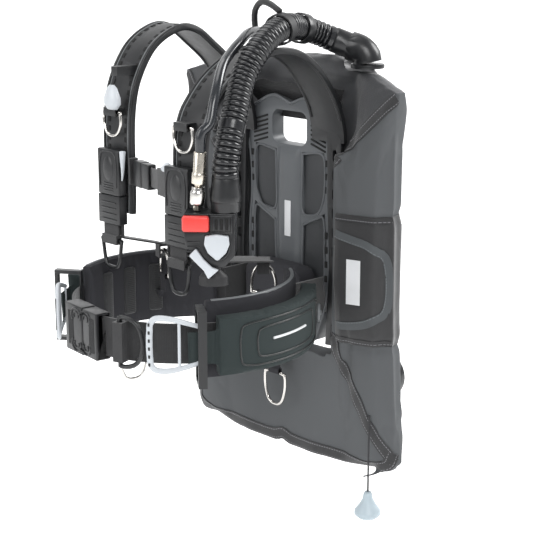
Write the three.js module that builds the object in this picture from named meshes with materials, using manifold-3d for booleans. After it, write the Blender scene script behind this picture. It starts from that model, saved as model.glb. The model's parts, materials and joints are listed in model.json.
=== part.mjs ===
// Back-inflation buoyancy compensator: a moulded backplate with a wing-shaped air cell behind it,
// a shoulder and waist harness in front, a corrugated hose with a power inflator, and tank bands.
// +X is the diver's left, -Y the diver's front, +Z up. The origin is the centre of the plate's
// rear face, where the tank is strapped on. Millimetres.
import * as THREE from 'three';
import { mergeVertices } from 'three/addons/utils/BufferGeometryUtils.js';
import Module from 'manifold-3d';

const wasm = await Module();
wasm.setup();

// Driving dimensions.
const GAP = 0.4; // between pieces that touch
const WING_HALF_WIDTH = 207;
const WING_TOP = 227;
const WING_CORNER = 186; // height of the outer top corner
const WING_BOTTOM = -336;
const WING_SEAM_X = 112; // front seam, from the middle
const WING_SEAM_Y = -60;
const PLATE_THICKNESS = 22;
const PLATE_TOP = 161;
const PLATE_BOTTOM = -178;
const PLATE_HALF_WIDTH = 86;
const WINDOW_MARGIN = 4; // from the plate to the opening in the wing
const STRAP_WIDTH = 58;
const STRAP_THICKNESS = 6;
const LEFT_STRAP_X = 50; // inner edge of the left shoulder strap
const RIGHT_STRAP_X = -62;
const CHEST_WEBBING_WIDTH = 25;
const WEBBING = 2; // thickness of the light webbing
const BELT_WIDTH = 50;
const BELT_THICKNESS = 3;
const BELT_Z = -105; // middle height of the belt
const BELT_CENTRE_Y = -212;
const BELT_RADIUS = 145;
const POCKET_HEIGHT = 84;
const POCKET_THICKNESS = 24;
const HOSE_RADIUS = 16;
const INFLATOR_WIDTH = 60;
const INFLATOR_DEPTH = 34;
const INFLATOR_HEIGHT = 64;
const FEED_HOSE_RADIUS = 6;
const RING_WIRE = 5;
const BAND_WIDTH = 50; // tank band webbing
const VALVE_RADIUS = 30;

const part = new THREE.Group();

// Materials.
const finish = (color, roughness, metalness = 0) =>
  new THREE.MeshStandardMaterial({ color, roughness, metalness });
const nylon = finish(0x4b4c4f, 0.55);
const platePlastic = finish(0x54575a, 0.45);
const rubber = finish(0x2b2c2e, 0.6);
const blackPlastic = finish(0x232425, 0.4);
const webbing = finish(0x1c1c1e, 0.85);
const pocketRubber = finish(0x1c2422, 0.4);
const padFabric = finish(0x242526, 0.8);
const hoseRubber = finish(0x262728, 0.45);
const steel = finish(0xd8d4cc, 0.2, 1);
const lightPlastic = finish(0xd6dbdf, 0.35);
const redPlastic = finish(0xf0554d, 0.35);
const knobPlastic = finish(0xa9b5bb, 0.4);

// Closed solids: geometry to manifold and back, with the booleans used here.
const solidOf = (geometry) => {
  const bare = geometry.clone();
  bare.deleteAttribute('normal');
  bare.deleteAttribute('uv');
  const merged = mergeVertices(bare, 1e-4);
  return new wasm.Manifold(
    new wasm.Mesh({
      numProp: 3,
      vertProperties: new Float32Array(merged.attributes.position.array),
      triVerts: new Uint32Array(merged.index.array),
    }),
  );
};
const geometryOf = (solid) => {
  const mesh = solid.getMesh();
  const geometry = new THREE.BufferGeometry();
  geometry.setAttribute('position', new THREE.BufferAttribute(new Float32Array(mesh.vertProperties), 3));
  geometry.setIndex(new THREE.BufferAttribute(new Uint32Array(mesh.triVerts), 1));
  return geometry;
};
const cut = (geometry, ...tools) =>
  geometryOf(tools.reduce((solid, tool) => solid.subtract(solidOf(tool)), solidOf(geometry)));
const join = (geometry, ...others) =>
  geometryOf(others.reduce((solid, other) => solid.add(solidOf(other)), solidOf(geometry)));

const piece = (name, geometry, material, parent = part) => {
  const mesh = new THREE.Mesh(geometry, material);
  mesh.name = name;
  parent.add(mesh);
  return mesh;
};

// Flat outlines and what is made from them.
const polygon = (points) => new THREE.Shape(points.map(([x, y]) => new THREE.Vector2(x, y)));
const mirrored = (points) => polygon([...points, ...points.map(([x, y]) => [-x, y]).reverse()]);
const extrude = (shape, depth, options = {}) =>
  new THREE.ExtrudeGeometry(shape, { depth, bevelEnabled: false, curveSegments: 6, ...options });
// Outline in X and Z, from y0 back to y1.
const facing = (shape, y0, y1, options) =>
  extrude(shape, y1 - y0, options).rotateX(Math.PI / 2).translate(0, y1, 0);
// Outline in Y and Z, from x0 to x1.
const sideways = (shape, x0, x1) =>
  extrude(shape, x1 - x0)
    .applyMatrix4(new THREE.Matrix4().set(0, 0, 1, x0, 1, 0, 0, 0, 0, 1, 0, 0, 0, 0, 0, 1));
// Outline in X and Y, from z0 up to z1.
const upright = (shape, z0, z1) => extrude(shape, z1 - z0).translate(0, 0, z0);
const box = (x0, x1, y0, y1, z0, z1) =>
  new THREE.BoxGeometry(x1 - x0, y1 - y0, z1 - z0)
    .translate((x0 + x1) / 2, (y0 + y1) / 2, (z0 + z1) / 2);
// A strip that follows a curve, between two offsets to its left.
const strip = (points, near, far, steps = 24) => {
  const curve = new THREE.SplineCurve(points.map(([x, y]) => new THREE.Vector2(x, y)));
  const side = (offset) =>
    Array.from({ length: steps + 1 }, (_, i) => {
      const at = curve.getPoint(i / steps);
      const along = curve.getTangent(i / steps);
      return [at.x - along.y * offset, at.y + along.x * offset];
    });
  return polygon([...side(near), ...side(far).reverse()]);
};
const roundedBox = (width, height, radius) => {
  const [x, y] = [width / 2 - radius, height / 2 - radius];
  const shape = new THREE.Shape();
  shape.absarc(x, y, radius, 0, Math.PI / 2);
  shape.absarc(-x, y, radius, Math.PI / 2, Math.PI);
  shape.absarc(-x, -y, radius, Math.PI, 1.5 * Math.PI);
  shape.absarc(x, -y, radius, 1.5 * Math.PI, 2 * Math.PI);
  return shape;
};
const tube = (points, radius, steps, sides = 10, closed = false) => {
  const section = polygon(
    Array.from({ length: sides }, (_, i) => {
      const angle = (2 * Math.PI * i) / sides;
      return [radius * Math.cos(angle), radius * Math.sin(angle)];
    }),
  );
  const path = new THREE.CatmullRomCurve3(points.map((p) => new THREE.Vector3(...p)), closed);
  return new THREE.ExtrudeGeometry(section, { steps, extrudePath: path, bevelEnabled: false });
};
const turned = (profile, sides = 24) =>
  new THREE.LatheGeometry(profile.map(([r, z]) => new THREE.Vector2(r, z)), sides).rotateX(Math.PI / 2);
// Lays a shape made along +Z from one point towards another.
const aimed = (geometry, from, to) => {
  const start = new THREE.Vector3(...from);
  const along = new THREE.Vector3(...to).sub(start).normalize();
  const turn = new THREE.Quaternion().setFromUnitVectors(new THREE.Vector3(0, 0, 1), along);
  return geometry.applyQuaternion(turn).translate(...from);
};
// A D-shaped wire ring in the X-Z plane, its straight bar along X through the origin.
const dRing = (width, drop, wire) => {
  const half = width / 2 - wire / 2;
  const points = [
    [-half, 0, 0],
    [-half, 0, -drop * 0.45],
    [-half * 0.55, 0, -drop + wire],
    [0, 0, -drop + wire / 2],
    [half * 0.55, 0, -drop + wire],
    [half, 0, -drop * 0.45],
    [half, 0, 0],
  ];
  const bow = tube(points, wire / 2, 16, 6);
  const bar = new THREE.CylinderGeometry(wire / 2, wire / 2, width - 0.2, 6).rotateZ(Math.PI / 2);
  return join(bow, bar);
};

// Air cell. A point of its front or rear skin for each place across and along it.
const mix = THREE.MathUtils.lerp;
const ramp = (value, low, high) => THREE.MathUtils.clamp((value - low) / (high - low), 0, 1);
const INNER_LIP_X = PLATE_HALF_WIDTH + 20;
const seamX = (z) => {
  const up = ramp(z, WING_CORNER - 96, WING_CORNER);
  const down = ramp(z, -150, WING_BOTTOM + 12);
  return mix(WING_SEAM_X, WING_HALF_WIDTH - 2, Math.max(up, down));
};
const edgeY = (z) => mix(-10, -33, ramp(z, WING_BOTTOM + 10, -110));
const seamY = (z) => mix(mix(WING_SEAM_Y, edgeY(z) - 2, ramp(z, 90, WING_CORNER)), edgeY(z) - 6,
  ramp(z, -170, WING_BOTTOM + 12));
const middleY = (z) => (z < 0 ? -36 : mix(-24, -6, ramp(z, 150, WING_TOP)));
const frontY = (x, z) => {
  const from = Math.abs(x);
  const seam = seamX(z);
  if (from >= seam) {
    return mix(seamY(z), edgeY(z), ramp(from, seam, WING_HALF_WIDTH));
  }
  if (z > -150 && z < 90) {
    return from < INNER_LIP_X ? -PLATE_THICKNESS : mix(-PLATE_THICKNESS, seamY(z), ramp(from, INNER_LIP_X, seam));
  }
  const open = mix(middleY(z), seamY(z), ramp(from, z > 0 ? 124 : 60, seam));
  return from < INNER_LIP_X && z > 0 ? Math.max(open, -PLATE_THICKNESS) : open;
};
const rearY = (x, z) => {
  const from = Math.abs(x);
  const ends = Math.min(ramp(z, WING_BOTTOM - 10, WING_BOTTOM + 110), ramp(z, WING_TOP + 30, 100));
  const full = mix(70, edgeY(z) + 6, ramp(from, 92, WING_HALF_WIDTH));
  const thin = 3;
  return from < 60 ? thin : mix(thin, full, ramp(from, 60, 98) * mix(0.35, 1, ends));
};
const topZ = (x) => mix(WING_TOP, WING_CORNER, ramp(Math.abs(x), 55, WING_HALF_WIDTH));
const bottomZ = (x) => WING_BOTTOM + 6 * (1 - ramp(Math.abs(x), 0, 8)) + 30 * ramp(Math.abs(x), 190, 216);

// Closed skin between two surfaces over columns and rows.
const skin = (columns, rowsOf, front, rear) => {
  const positions = [];
  const rows = rowsOf(0).length;
  for (const face of [front, rear]) {
    for (const x of columns) {
      for (const z of rowsOf(x)) {
        positions.push(x, face(x, z), z);
      }
    }
  }
  const at = (face, i, j) => (face * columns.length + i) * rows + j;
  const index = [];
  const quad = (a, b, c, d) => index.push(a, b, c, a, c, d);
  for (let i = 0; i + 1 < columns.length; i += 1) {
    for (let j = 0; j + 1 < rows; j += 1) {
      quad(at(0, i, j), at(0, i + 1, j), at(0, i + 1, j + 1), at(0, i, j + 1));
      quad(at(1, i, j), at(1, i, j + 1), at(1, i + 1, j + 1), at(1, i + 1, j));
    }
    quad(at(0, i, 0), at(1, i, 0), at(1, i + 1, 0), at(0, i + 1, 0));
    quad(at(0, i, rows - 1), at(0, i + 1, rows - 1), at(1, i + 1, rows - 1), at(1, i, rows - 1));
  }
  for (let j = 0; j + 1 < rows; j += 1) {
    const last = columns.length - 1;
    quad(at(0, 0, j), at(0, 0, j + 1), at(1, 0, j + 1), at(1, 0, j));
    quad(at(0, last, j), at(1, last, j), at(1, last, j + 1), at(0, last, j + 1));
  }
  const geometry = new THREE.BufferGeometry();
  geometry.setAttribute('position', new THREE.Float32BufferAttribute(positions, 3));
  geometry.setIndex(index);
  return geometry;
};
const halfColumns = [0, 8, 30, 60, 80, 98, INNER_LIP_X, WING_SEAM_X, 130, 150, 170, 188, 200, WING_HALF_WIDTH];
const wingColumns = [...halfColumns.slice(1).map((x) => -x).reverse(), ...halfColumns];
const WING_ROWS = 20;
const wingRows = (x) =>
  Array.from({ length: WING_ROWS + 1 }, (_, j) => mix(bottomZ(x), topZ(x), j / WING_ROWS));
const WINDOW_HALF_WIDTH = PLATE_HALF_WIDTH + WINDOW_MARGIN;
const WINDOW_TOP = PLATE_TOP + WINDOW_MARGIN;
const WINDOW_BOTTOM = PLATE_BOTTOM - WINDOW_MARGIN;
const wingWindow = box(-WINDOW_HALF_WIDTH, WINDOW_HALF_WIDTH, -200, 200, WINDOW_BOTTOM, WINDOW_TOP);

// Bottom pull: a cord from the seam of the left lower corner down to its knob.
const PULL_X = 174;
const PULL_Y = -44;
const PULL_EXIT_Z = WING_BOTTOM + 64;
const PULL_LOOP_Z = WING_BOTTOM - 2; // guide loop under the wing
const PULL_KNOB_TOP = WING_BOTTOM - 18;
const CORD_RADIUS = 1.2;
const PULL_SLEEVE = 26; // how far the cord runs up inside its sleeve
const SLEEVE_BELOW = 14; // from the cord's exit down past the seam
const SLEEVE_ABOVE = 2; // left over the cord's end
const pullSleeve = new THREE.CylinderGeometry(3.2, 3.2, PULL_SLEEVE + SLEEVE_BELOW + SLEEVE_ABOVE, 10)
  .rotateX(Math.PI / 2)
  .translate(PULL_X, PULL_Y, PULL_EXIT_Z + (PULL_SLEEVE + SLEEVE_ABOVE - SLEEVE_BELOW) / 2);

// Rear dump valve, low on the left lobe, seated in a flanged hole of the rear skin.
const VALVE_AT = [135, 24, -215];
const valveSeat = new THREE.CylinderGeometry(VALVE_RADIUS + GAP, VALVE_RADIUS + GAP, 60, 24)
  .translate(VALVE_AT[0], VALVE_AT[1] + 20, VALVE_AT[2]);

// Room for the harness rails, and a flat seat for the hose elbow on the top edge.
const RAIL_OUTER_X = 104;
const railRoom = box(-RAIL_OUTER_X - 2, RAIL_OUTER_X + 2, -200, -PLATE_THICKNESS, -174, 128);
const strapFootRoom = box(-124, 124, -200, -PLATE_THICKNESS, 100, 180);
const ELBOW_AT = [121, 0, 212];
const ELBOW_FLANGE_RADIUS = 22;
const elbowSeat = new THREE.CylinderGeometry(ELBOW_FLANGE_RADIUS + 10, ELBOW_FLANGE_RADIUS + 10, 60, 20)
  .rotateX(Math.PI / 2)
  .translate(ELBOW_AT[0], ELBOW_AT[1], ELBOW_AT[2] - 7 + 30);
const loopBore = new THREE.CylinderGeometry(CORD_RADIUS + 1.2, CORD_RADIUS + 1.2, 40, 12)
  .rotateX(Math.PI / 2)
  .translate(PULL_X, PULL_Y, PULL_LOOP_Z);
const cordLoop = cut(
  box(PULL_X - 5, PULL_X + 5, PULL_Y - 4.5, -16, PULL_LOOP_Z - 4, WING_BOTTOM + 1), loopBore);
const CUFF_START = [86, -32, 243];
const CUFF_END = [99, -10, 233];
const elbowPath = [CUFF_END, [111, -4, 229], [119, -1, 222], ELBOW_AT];
const ELBOW_WALL = 3;
const elbowRoom = tube([CUFF_START, ...elbowPath], HOSE_RADIUS + ELBOW_WALL + GAP, 10, 12);
const wingSolid = cut(
  skin(wingColumns, wingRows, frontY, rearY),
  wingWindow, railRoom, strapFootRoom, pullSleeve, valveSeat, elbowSeat, elbowRoom);
piece('air_cell', join(wingSolid, cordLoop), nylon);

// Backplate with a grab-handle opening, recessed panels, belt slots and tank-band tunnels.
const plateOutline = mirrored([
  [0, 151], [32, PLATE_TOP], [PLATE_HALF_WIDTH, 132], [83, 98], [75, 62], [75, 20],
  [80, -30], [76, -100], [62, -150], [50, PLATE_BOTTOM + 4], [0, PLATE_BOTTOM],
]);
const HANDLE_WIDTH = 66;
const HANDLE_TOP = 140;
const HANDLE_BOTTOM = 94;
const handleHole = facing(roundedBox(HANDLE_WIDTH, HANDLE_TOP - HANDLE_BOTTOM, 12), -60, 30)
  .translate(0, 0, (HANDLE_TOP + HANDLE_BOTTOM) / 2);
const RECESS = 4;
const upperPanel = [[24, 86], [66, 90], [67, 24], [56, 4], [26, 0]];
const lowerPanel = [[26, -12], [50, -4], [68, 8], [72, -30], [68, -100], [50, -150], [22, -150]];
const recesses = [upperPanel, lowerPanel].flatMap((points) =>
  [1, -1].map((sign) =>
    facing(polygon(points.map(([x, z]) => [sign * x, z])), -60, RECESS - PLATE_THICKNESS)));
const SLOT_X = 66;
const BELT_SLOT_HALF = 4;
const beltSlots = [1, -1].map((sign) =>
  box(sign * SLOT_X - BELT_SLOT_HALF, sign * SLOT_X + BELT_SLOT_HALF, -60, 30,
    BELT_Z - BELT_WIDTH / 2 - 2, BELT_Z + BELT_WIDTH / 2 + 2));
const BAND_HEIGHTS = [52, -28];
const TUNNEL_HALF_WIDTH = 58;
const bandTunnels = BAND_HEIGHTS.flatMap((z) => {
  const [low, high] = [z - BAND_WIDTH / 2 - 1, z + BAND_WIDTH / 2 + 1];
  return [
    box(-TUNNEL_HALF_WIDTH, TUNNEL_HALF_WIDTH, -13, -7, low, high),
    ...[1, -1].map((sign) => {
      const edges = [sign * (TUNNEL_HALF_WIDTH - 9), sign * TUNNEL_HALF_WIDTH].sort((a, b) => a - b);
      return box(...edges, -13, 10, low, high);
    }),
  ];
});
piece('backplate',
  cut(facing(plateOutline, -PLATE_THICKNESS, 0), handleHole, ...recesses, ...beltSlots, ...bandTunnels),
  platePlastic);

// Harness rails that hold the straps along the plate's sides.
const RAIL_Y = -PLATE_THICKNESS - GAP;
const railOutline = [
  [78, 118], [90, 124], [RAIL_OUTER_X - 1, 112], [RAIL_OUTER_X - 3, 20], [RAIL_OUTER_X, -60],
  [RAIL_OUTER_X - 6, -170], [78, -172], [84, -60], [80, 20],
];
const rails = {};
for (const [side, sign] of [['left', 1], ['right', -1]]) {
  const outline = polygon(railOutline.map(([x, z]) => [sign * x, z]));
  const holes = [-150, -40, -14, 12, 38, 64, 90].map((z) =>
    facing(roundedBox(7, 16, 3.4), -60, 0, { curveSegments: 2 }).translate(sign * 92, 0, z));
  rails[side] = cut(facing(outline, RAIL_Y - 7, RAIL_Y), ...holes);
}

// Hoses. The corrugated hose runs from the elbow on the wing's top edge, over the left shoulder
// and down to the inflator; its last stretch before the elbow is a smooth cuff.
const INFLATOR_AT = [129.5, -282.5, 26];
const INFLATOR_TURN = THREE.MathUtils.degToRad(43);
const NECK_X = 18; // across the inflator's body
const inflatorPoint = (x, y, z) => [
  INFLATOR_AT[0] + x * Math.cos(INFLATOR_TURN) - y * Math.sin(INFLATOR_TURN),
  INFLATOR_AT[1] + x * Math.sin(INFLATOR_TURN) + y * Math.cos(INFLATOR_TURN),
  INFLATOR_AT[2] + z,
];
const NECK_TOP = INFLATOR_HEIGHT / 2 + 41 + GAP;
const hoseRoute = [
  inflatorPoint(NECK_X, 0, NECK_TOP), inflatorPoint(NECK_X, 0, NECK_TOP + 12), [141, -263, 138],
  [137, -254, 157], [132, -243, 177],
  [124, -229, 198], [118, -213, 217], [117, -198, 234], [114, -178, 250], [107, -152, 260],
  [93, -118, 264], [79, -88, 260], [74, -65, 256], [77, -48, 250.5], CUFF_START,
];
const hose = tube(hoseRoute, HOSE_RADIUS, 32, 10);
const hoseRoom = tube(hoseRoute, HOSE_RADIUS + 1.5, 32, 10);
piece('corrugated_hose', hose, hoseRubber);
const cuffLength = new THREE.Vector3(...CUFF_END).distanceTo(new THREE.Vector3(...CUFF_START));
const cuffProfile = [
  [0, 1], [HOSE_RADIUS - 1, 1], [HOSE_RADIUS + 0.5, 4], [HOSE_RADIUS + 0.5, cuffLength + 4],
  [0, cuffLength + 4],
];
const cuff = aimed(turned(cuffProfile, 16), CUFF_START, CUFF_END);
const elbowBend = tube(elbowPath, HOSE_RADIUS + ELBOW_WALL, 8, 12);
const elbowFlange = new THREE.CylinderGeometry(ELBOW_FLANGE_RADIUS, ELBOW_FLANGE_RADIUS, 5, 20)
  .rotateX(Math.PI / 2)
  .translate(ELBOW_AT[0], ELBOW_AT[1], ELBOW_AT[2] - 4);
piece('shoulder_elbow', join(elbowBend, elbowFlange, cuff), blackPlastic);

// Shoulder straps: a moulded band that rises from the rail, over the shoulder and down the chest.
const rightStrapPath = [
  [-26, 108], [-28, 128], [-38, 160], [-70, 205], [-100, 230], [-128, 250], [-152, 256], [-181, 248],
  [-204, 233], [-220, 213], [-233, 188], [-240, 160], [-243, 125], [-243, 80], [-243, 50], [-244, 20],
];
const leftStrapPath = [
  [-26, 108], [-28, 128], [-42, 165], [-78, 210], [-112, 230], [-144, 235], [-173, 231], [-203, 218],
  [-228, 201], [-248, 180], [-260, 162], [-267, 135], [-269, 105], [-267, 70], [-259, 38], [-253, 20],
];
const strapHalf = STRAP_THICKNESS / 2;
const strapRoom = (path, x0) =>
  sideways(strip(path, -strapHalf - GAP, strapHalf + GAP, 44), x0 - 1, x0 + STRAP_WIDTH + 1);
// A flat strip through points, with its width along one direction.
const ribbon = (points, width, thickness) => {
  const positions = [];
  const index = [];
  points.forEach((point, i) => {
    const before = points[Math.max(0, i - 1)];
    const after = points[Math.min(points.length - 1, i + 1)];
    const along = after.clone().sub(before).normalize();
    const lift = along.clone().cross(width).normalize().multiplyScalar(thickness / 2);
    for (const [across, up] of [[-1, -1], [1, -1], [1, 1], [-1, 1]]) {
      const corner = point.clone().addScaledVector(width, across).addScaledVector(lift, up);
      positions.push(...corner.toArray());
    }
  });
  const quad = (a, b, c, d) => index.push(a, b, c, a, c, d);
  for (let i = 0; i + 1 < points.length; i += 1) {
    for (let k = 0; k < 4; k += 1) {
      const next = (k + 1) % 4;
      quad(4 * i + k, 4 * i + next, 4 * i + 4 + next, 4 * i + 4 + k);
    }
  }
  const last = 4 * (points.length - 1);
  quad(3, 2, 1, 0);
  quad(last, last + 1, last + 2, last + 3);
  const geometry = new THREE.BufferGeometry();
  geometry.setAttribute('position', new THREE.Float32BufferAttribute(positions, 3));
  geometry.setIndex(index);
  return geometry;
};
// Where a strap's middle line stands, front to back, at a height on the chest.
const strapY = (path, z) => {
  const i = path.findIndex(([, height], k) => k > 6 && height <= z);
  const [[y0, z0], [y1, z1]] = [path[i - 1], path[i]];
  return mix(y0, y1, (z0 - z) / (z0 - z1));
};
const chest = {
  left: { x: LEFT_STRAP_X + 24, y: -269, sign: 1, x0: LEFT_STRAP_X, path: leftStrapPath },
  right: { x: RIGHT_STRAP_X - 29, y: -243, sign: -1, x0: RIGHT_STRAP_X - STRAP_WIDTH, path: rightStrapPath },
};
// Right dump pull: a light knob on a short cord that comes out of a guide on the strap.
const KNOB_AT = [-78, -263, 172];
const pullKnob = turned([[0, -15], [9, -15], [15, -8], [14.5, 0], [9, 12], [4.5, 16], [0, 16]], 20)
  .scale(1, 0.5, 1);
piece('shoulder_pull_knob', pullKnob.translate(...KNOB_AT), lightPlastic);
piece('shoulder_pull_cord',
  tube([[0, 0, 17], [0, 4, 24], [0, 10, 31]], 1.2, 4, 8).translate(...KNOB_AT), webbing);
const guideBore = tube([[0, -4, 18], [0, 4, 24], [0, 10, 31], [0, 14, 36]], 2.2, 6, 8);
const pullGuide = cut(box(-6, 6, 4, 38, 27, 39), guideBore).translate(...KNOB_AT);

const RING_GAP = 1.2;
const CHEST_RING_WIDTH = 40;
const CHEST_RING_DROP = 34;
const BUCKLE_WIDTH = 44;
const BUCKLE_DEPTH = 13;
const BUCKLE_TOP = 104;
const BUCKLE_SPLIT = 44; // where the adjuster clips into the housing
const ADJUSTER_BOTTOM = 6;
const ADJUSTER_TONGUE = 12;
const ADJUSTER_TRAVEL = 13; // to free its tongue from the housing
const WEBBING_START = BUCKLE_SPLIT - 8 - ADJUSTER_TRAVEL - 3; // top of the webbing inside the adjuster
const strapNodes = new THREE.Group();
part.add(strapNodes);
for (const [side, { x, y, x0, path }] of Object.entries(chest)) {
  const strap = sideways(strip(path, -strapHalf, strapHalf, 44), x0, x0 + STRAP_WIDTH);

  // Chest ring on its webbing loop, above the buckle.
  const ringZ = 152;
  const strapAtRing = strapY(path, ringZ);
  const ringY = strapAtRing - strapHalf - 10;
  const ring = dRing(CHEST_RING_WIDTH, CHEST_RING_DROP, RING_WIRE).translate(x, ringY, ringZ);
  piece(`chest_ring_${side}`, ring, steel);
  const bore = new THREE.CylinderGeometry(RING_WIRE / 2 + RING_GAP, RING_WIRE / 2 + RING_GAP, 60, 10)
    .rotateZ(Math.PI / 2)
    .translate(x, ringY, ringZ);
  const loop = cut(box(x - 12, x + 12, ringY - 5, strapAtRing, ringZ - 5, ringZ + 5), bore);
  const extras = side === 'right' ? [pullGuide] : [];
  piece(`harness_${side}`, join(cut(strap, hoseRoom), rails[side], loop, ...extras), rubber, strapNodes);

  // Quick-release buckle: housing on the strap, adjuster clipped in below it.
  const front = y - strapHalf - 4 - BUCKLE_DEPTH;
  const back = y - strapHalf - 4;
  const housing = box(x - BUCKLE_WIDTH / 2, x + BUCKLE_WIDTH / 2, front, back, BUCKLE_SPLIT, BUCKLE_TOP);
  const socket = box(x - 15, x + 15, front + 3, back - 3, BUCKLE_SPLIT - 1, BUCKLE_SPLIT + 22);
  piece(`shoulder_buckle_${side}`, cut(housing, socket, strapRoom(path, x0)), blackPlastic);
  const tongue = box(x - 14, x + 14, front + 4, back - 4, BUCKLE_SPLIT - 3, BUCKLE_SPLIT + ADJUSTER_TONGUE);
  const frame = box(x - BUCKLE_WIDTH / 2, x + BUCKLE_WIDTH / 2, front, back, ADJUSTER_BOTTOM,
    BUCKLE_SPLIT - GAP);
  const slot = box(x - 20, x + 20, front + 1.9, back - 1.9, ADJUSTER_BOTTOM - 1, BUCKLE_SPLIT - 8);
  piece(`shoulder_adjuster_${side}`, cut(join(frame, tongue), slot, strapRoom(path, x0)), blackPlastic);
}

// Lower webbing of each shoulder: down the adjuster, then back to the hip ring. A tail hangs in
// front with the pull ring on its end.
const HIP_RING_AT = { left: [64, -132, -82], right: [-92, -170, -81] };
const HIP_RING_TURN = { left: 43, right: -20 };
const HIP_RING_HEIGHT = 40;
const HIP_WEBBING_WIDTH = 38;
const PULL_RING_TOP = -16;
const PULL_RING_DROP = 38;
for (const [side, { x, y }] of Object.entries(chest)) {
  const run = y - strapHalf - 4 - BUCKLE_DEPTH / 2;
  const toHip = (geometry) => geometry
    .rotateZ(THREE.MathUtils.degToRad(HIP_RING_TURN[side]))
    .translate(...HIP_RING_AT[side]);
  const tailBottom = PULL_RING_TOP + 6;
  const tail = box(x - 15, x + 15, run - 3.4, run - 1.4, tailBottom, WEBBING_START + 1);
  const pullRing = join(
    tube([[-20, 0, 0], [-19, 0, -4], [-14, 0, -PULL_RING_DROP + 8], [-9, 0, -PULL_RING_DROP + 2],
      [9, 0, -PULL_RING_DROP + 2], [14, 0, -PULL_RING_DROP + 8], [19, 0, -4], [20, 0, 0]], 2.6, 18, 6),
    new THREE.CylinderGeometry(2.6, 2.6, 42, 6).rotateZ(Math.PI / 2),
  ).translate(x, run - 2.4, PULL_RING_TOP);
  piece(`pull_ring_${side}`, pullRing, blackPlastic, strapNodes);
  const bore = new THREE.CylinderGeometry(3.4, 3.4, 60, 10)
    .rotateZ(Math.PI / 2)
    .translate(x, run - 2.4, PULL_RING_TOP);
  const fold = box(x - 15, x + 15, run - 7.4, run + 1.4, PULL_RING_TOP - 5, tailBottom + 1);

  // Hip webbing: a flat strip from the adjuster to the hip ring.
  const start = new THREE.Vector3(x, run + 2.6, WEBBING_START);
  const bend = new THREE.Vector3(x, run + 2.6, ADJUSTER_BOTTOM - 18);
  const [hipX, hipY, hipZ] = HIP_RING_AT[side];
  const end = new THREE.Vector3(hipX, hipY, hipZ + HIP_RING_HEIGHT + 5);
  const width = new THREE.Vector3(HIP_WEBBING_WIDTH / 2, 0, 0);
  const turnBack = box(x - 14, x + 14, run - 3, run + 3, WEBBING_START - 2, WEBBING_START + 1);

  // Hip ring, hanging at the end of the webbing, and the tab that ties it to the hip pad.
  piece(`hip_ring_${side}`, toHip(dRing(36, HIP_RING_HEIGHT, RING_WIRE).rotateY(Math.PI)), steel, strapNodes);
  const hipFold = toHip(cut(box(-8, 8, -9.6, 9.6, 27, 46), box(-20, 20, -7.6, 7.6, 29.5, 43)));
  const strapDown = ribbon([start, bend, end], width, WEBBING);
  piece(`shoulder_webbing_${side}`,
    join(strapDown, hipFold, turnBack, tail, cut(fold, bore)), webbing, strapNodes);
}

// Sternum strap between the two shoulder straps. Local +X runs to the diver's left.
const STERNUM_Z = 78;
const sternumRight = new THREE.Vector3(RIGHT_STRAP_X + 3, -248, STERNUM_Z);
const sternumLeft = new THREE.Vector3(LEFT_STRAP_X - 3, -273, STERNUM_Z);
const sternum = new THREE.Group();
sternum.position.copy(sternumRight);
sternum.rotation.z = Math.atan2(sternumLeft.y - sternumRight.y, sternumLeft.x - sternumRight.x);
part.add(sternum);
const STERNUM_LENGTH = sternumRight.distanceTo(sternumLeft);
const chestHalf = CHEST_WEBBING_WIDTH / 2;
const FEMALE = [16, 37];
const TONGUE = 11; // of the clip, inside the socket
const CLIP_TRAVEL = 11.5;
const MALE_END = 57;
const LEFT_ADJUSTER = [STERNUM_LENGTH - 26, STERNUM_LENGTH - 6];
piece('sternum_strap_right',
  join(box(0, 5, -6, 6, -17, 17), box(4, FEMALE[0] + 5, -1, 1, -chestHalf, chestHalf)), webbing, sternum);
const femaleBody = box(...FEMALE, -6.5, 6.5, -16.5, 16.5);
piece('sternum_buckle_socket',
  cut(femaleBody, box(FEMALE[0] - 1, FEMALE[0] + 6, -2.2, 2.2, -13.4, 13.4),
    box(FEMALE[0] + 8, FEMALE[1] + 1, -4.2, 4.2, -13, 13)),
  blackPlastic, sternum);
piece('sternum_buckle_clip',
  cut(join(box(FEMALE[1] + GAP, MALE_END, -6, 6, -16, 16),
    box(FEMALE[1] - TONGUE, FEMALE[1] + 2, -3.4, 3.4, -12, 12)),
    box(FEMALE[1] + 5, MALE_END + 1, -2.6, 2.6, -13.6, 13.6)),
  blackPlastic, sternum);
piece('sternum_strap_left',
  join(box(FEMALE[1] + 5 + CLIP_TRAVEL + 1, STERNUM_LENGTH - 8, -1, 1, -chestHalf, chestHalf),
    box(...LEFT_ADJUSTER, -6, 6, -17, 17), box(LEFT_ADJUSTER[1] - 1, STERNUM_LENGTH, -5, 5, -15, 15)),
  webbing, sternum);

// Waist belt: an arc of webbing about the waist, with all that it carries. Angles in degrees are
// measured about the waist from the front middle towards the diver's left.
const radians = THREE.MathUtils.degToRad;
const arcPoint = (angle, radius) =>
  [radius * Math.sin(radians(angle)), BELT_CENTRE_Y - radius * Math.cos(radians(angle))];
const arc = (from, to, inner, outer, z0, z1, step = 5) => {
  const steps = Math.max(1, Math.round(Math.abs(to - from) / step));
  const angles = Array.from({ length: steps + 1 }, (_, i) => mix(from, to, i / steps));
  return upright(polygon([
    ...angles.map((angle) => arcPoint(angle, BELT_RADIUS + inner)),
    ...angles.reverse().map((angle) => arcPoint(angle, BELT_RADIUS + outer)),
  ]), z0, z1);
};
const onBelt = (angle, offset = 0, z = BELT_Z) => {
  const spot = new THREE.Group();
  spot.position.set(...arcPoint(angle, BELT_RADIUS + offset), z);
  spot.rotation.z = radians(angle);
  part.add(spot);
  return spot;
};
const BELT_LOW = BELT_Z - BELT_WIDTH / 2;
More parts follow.
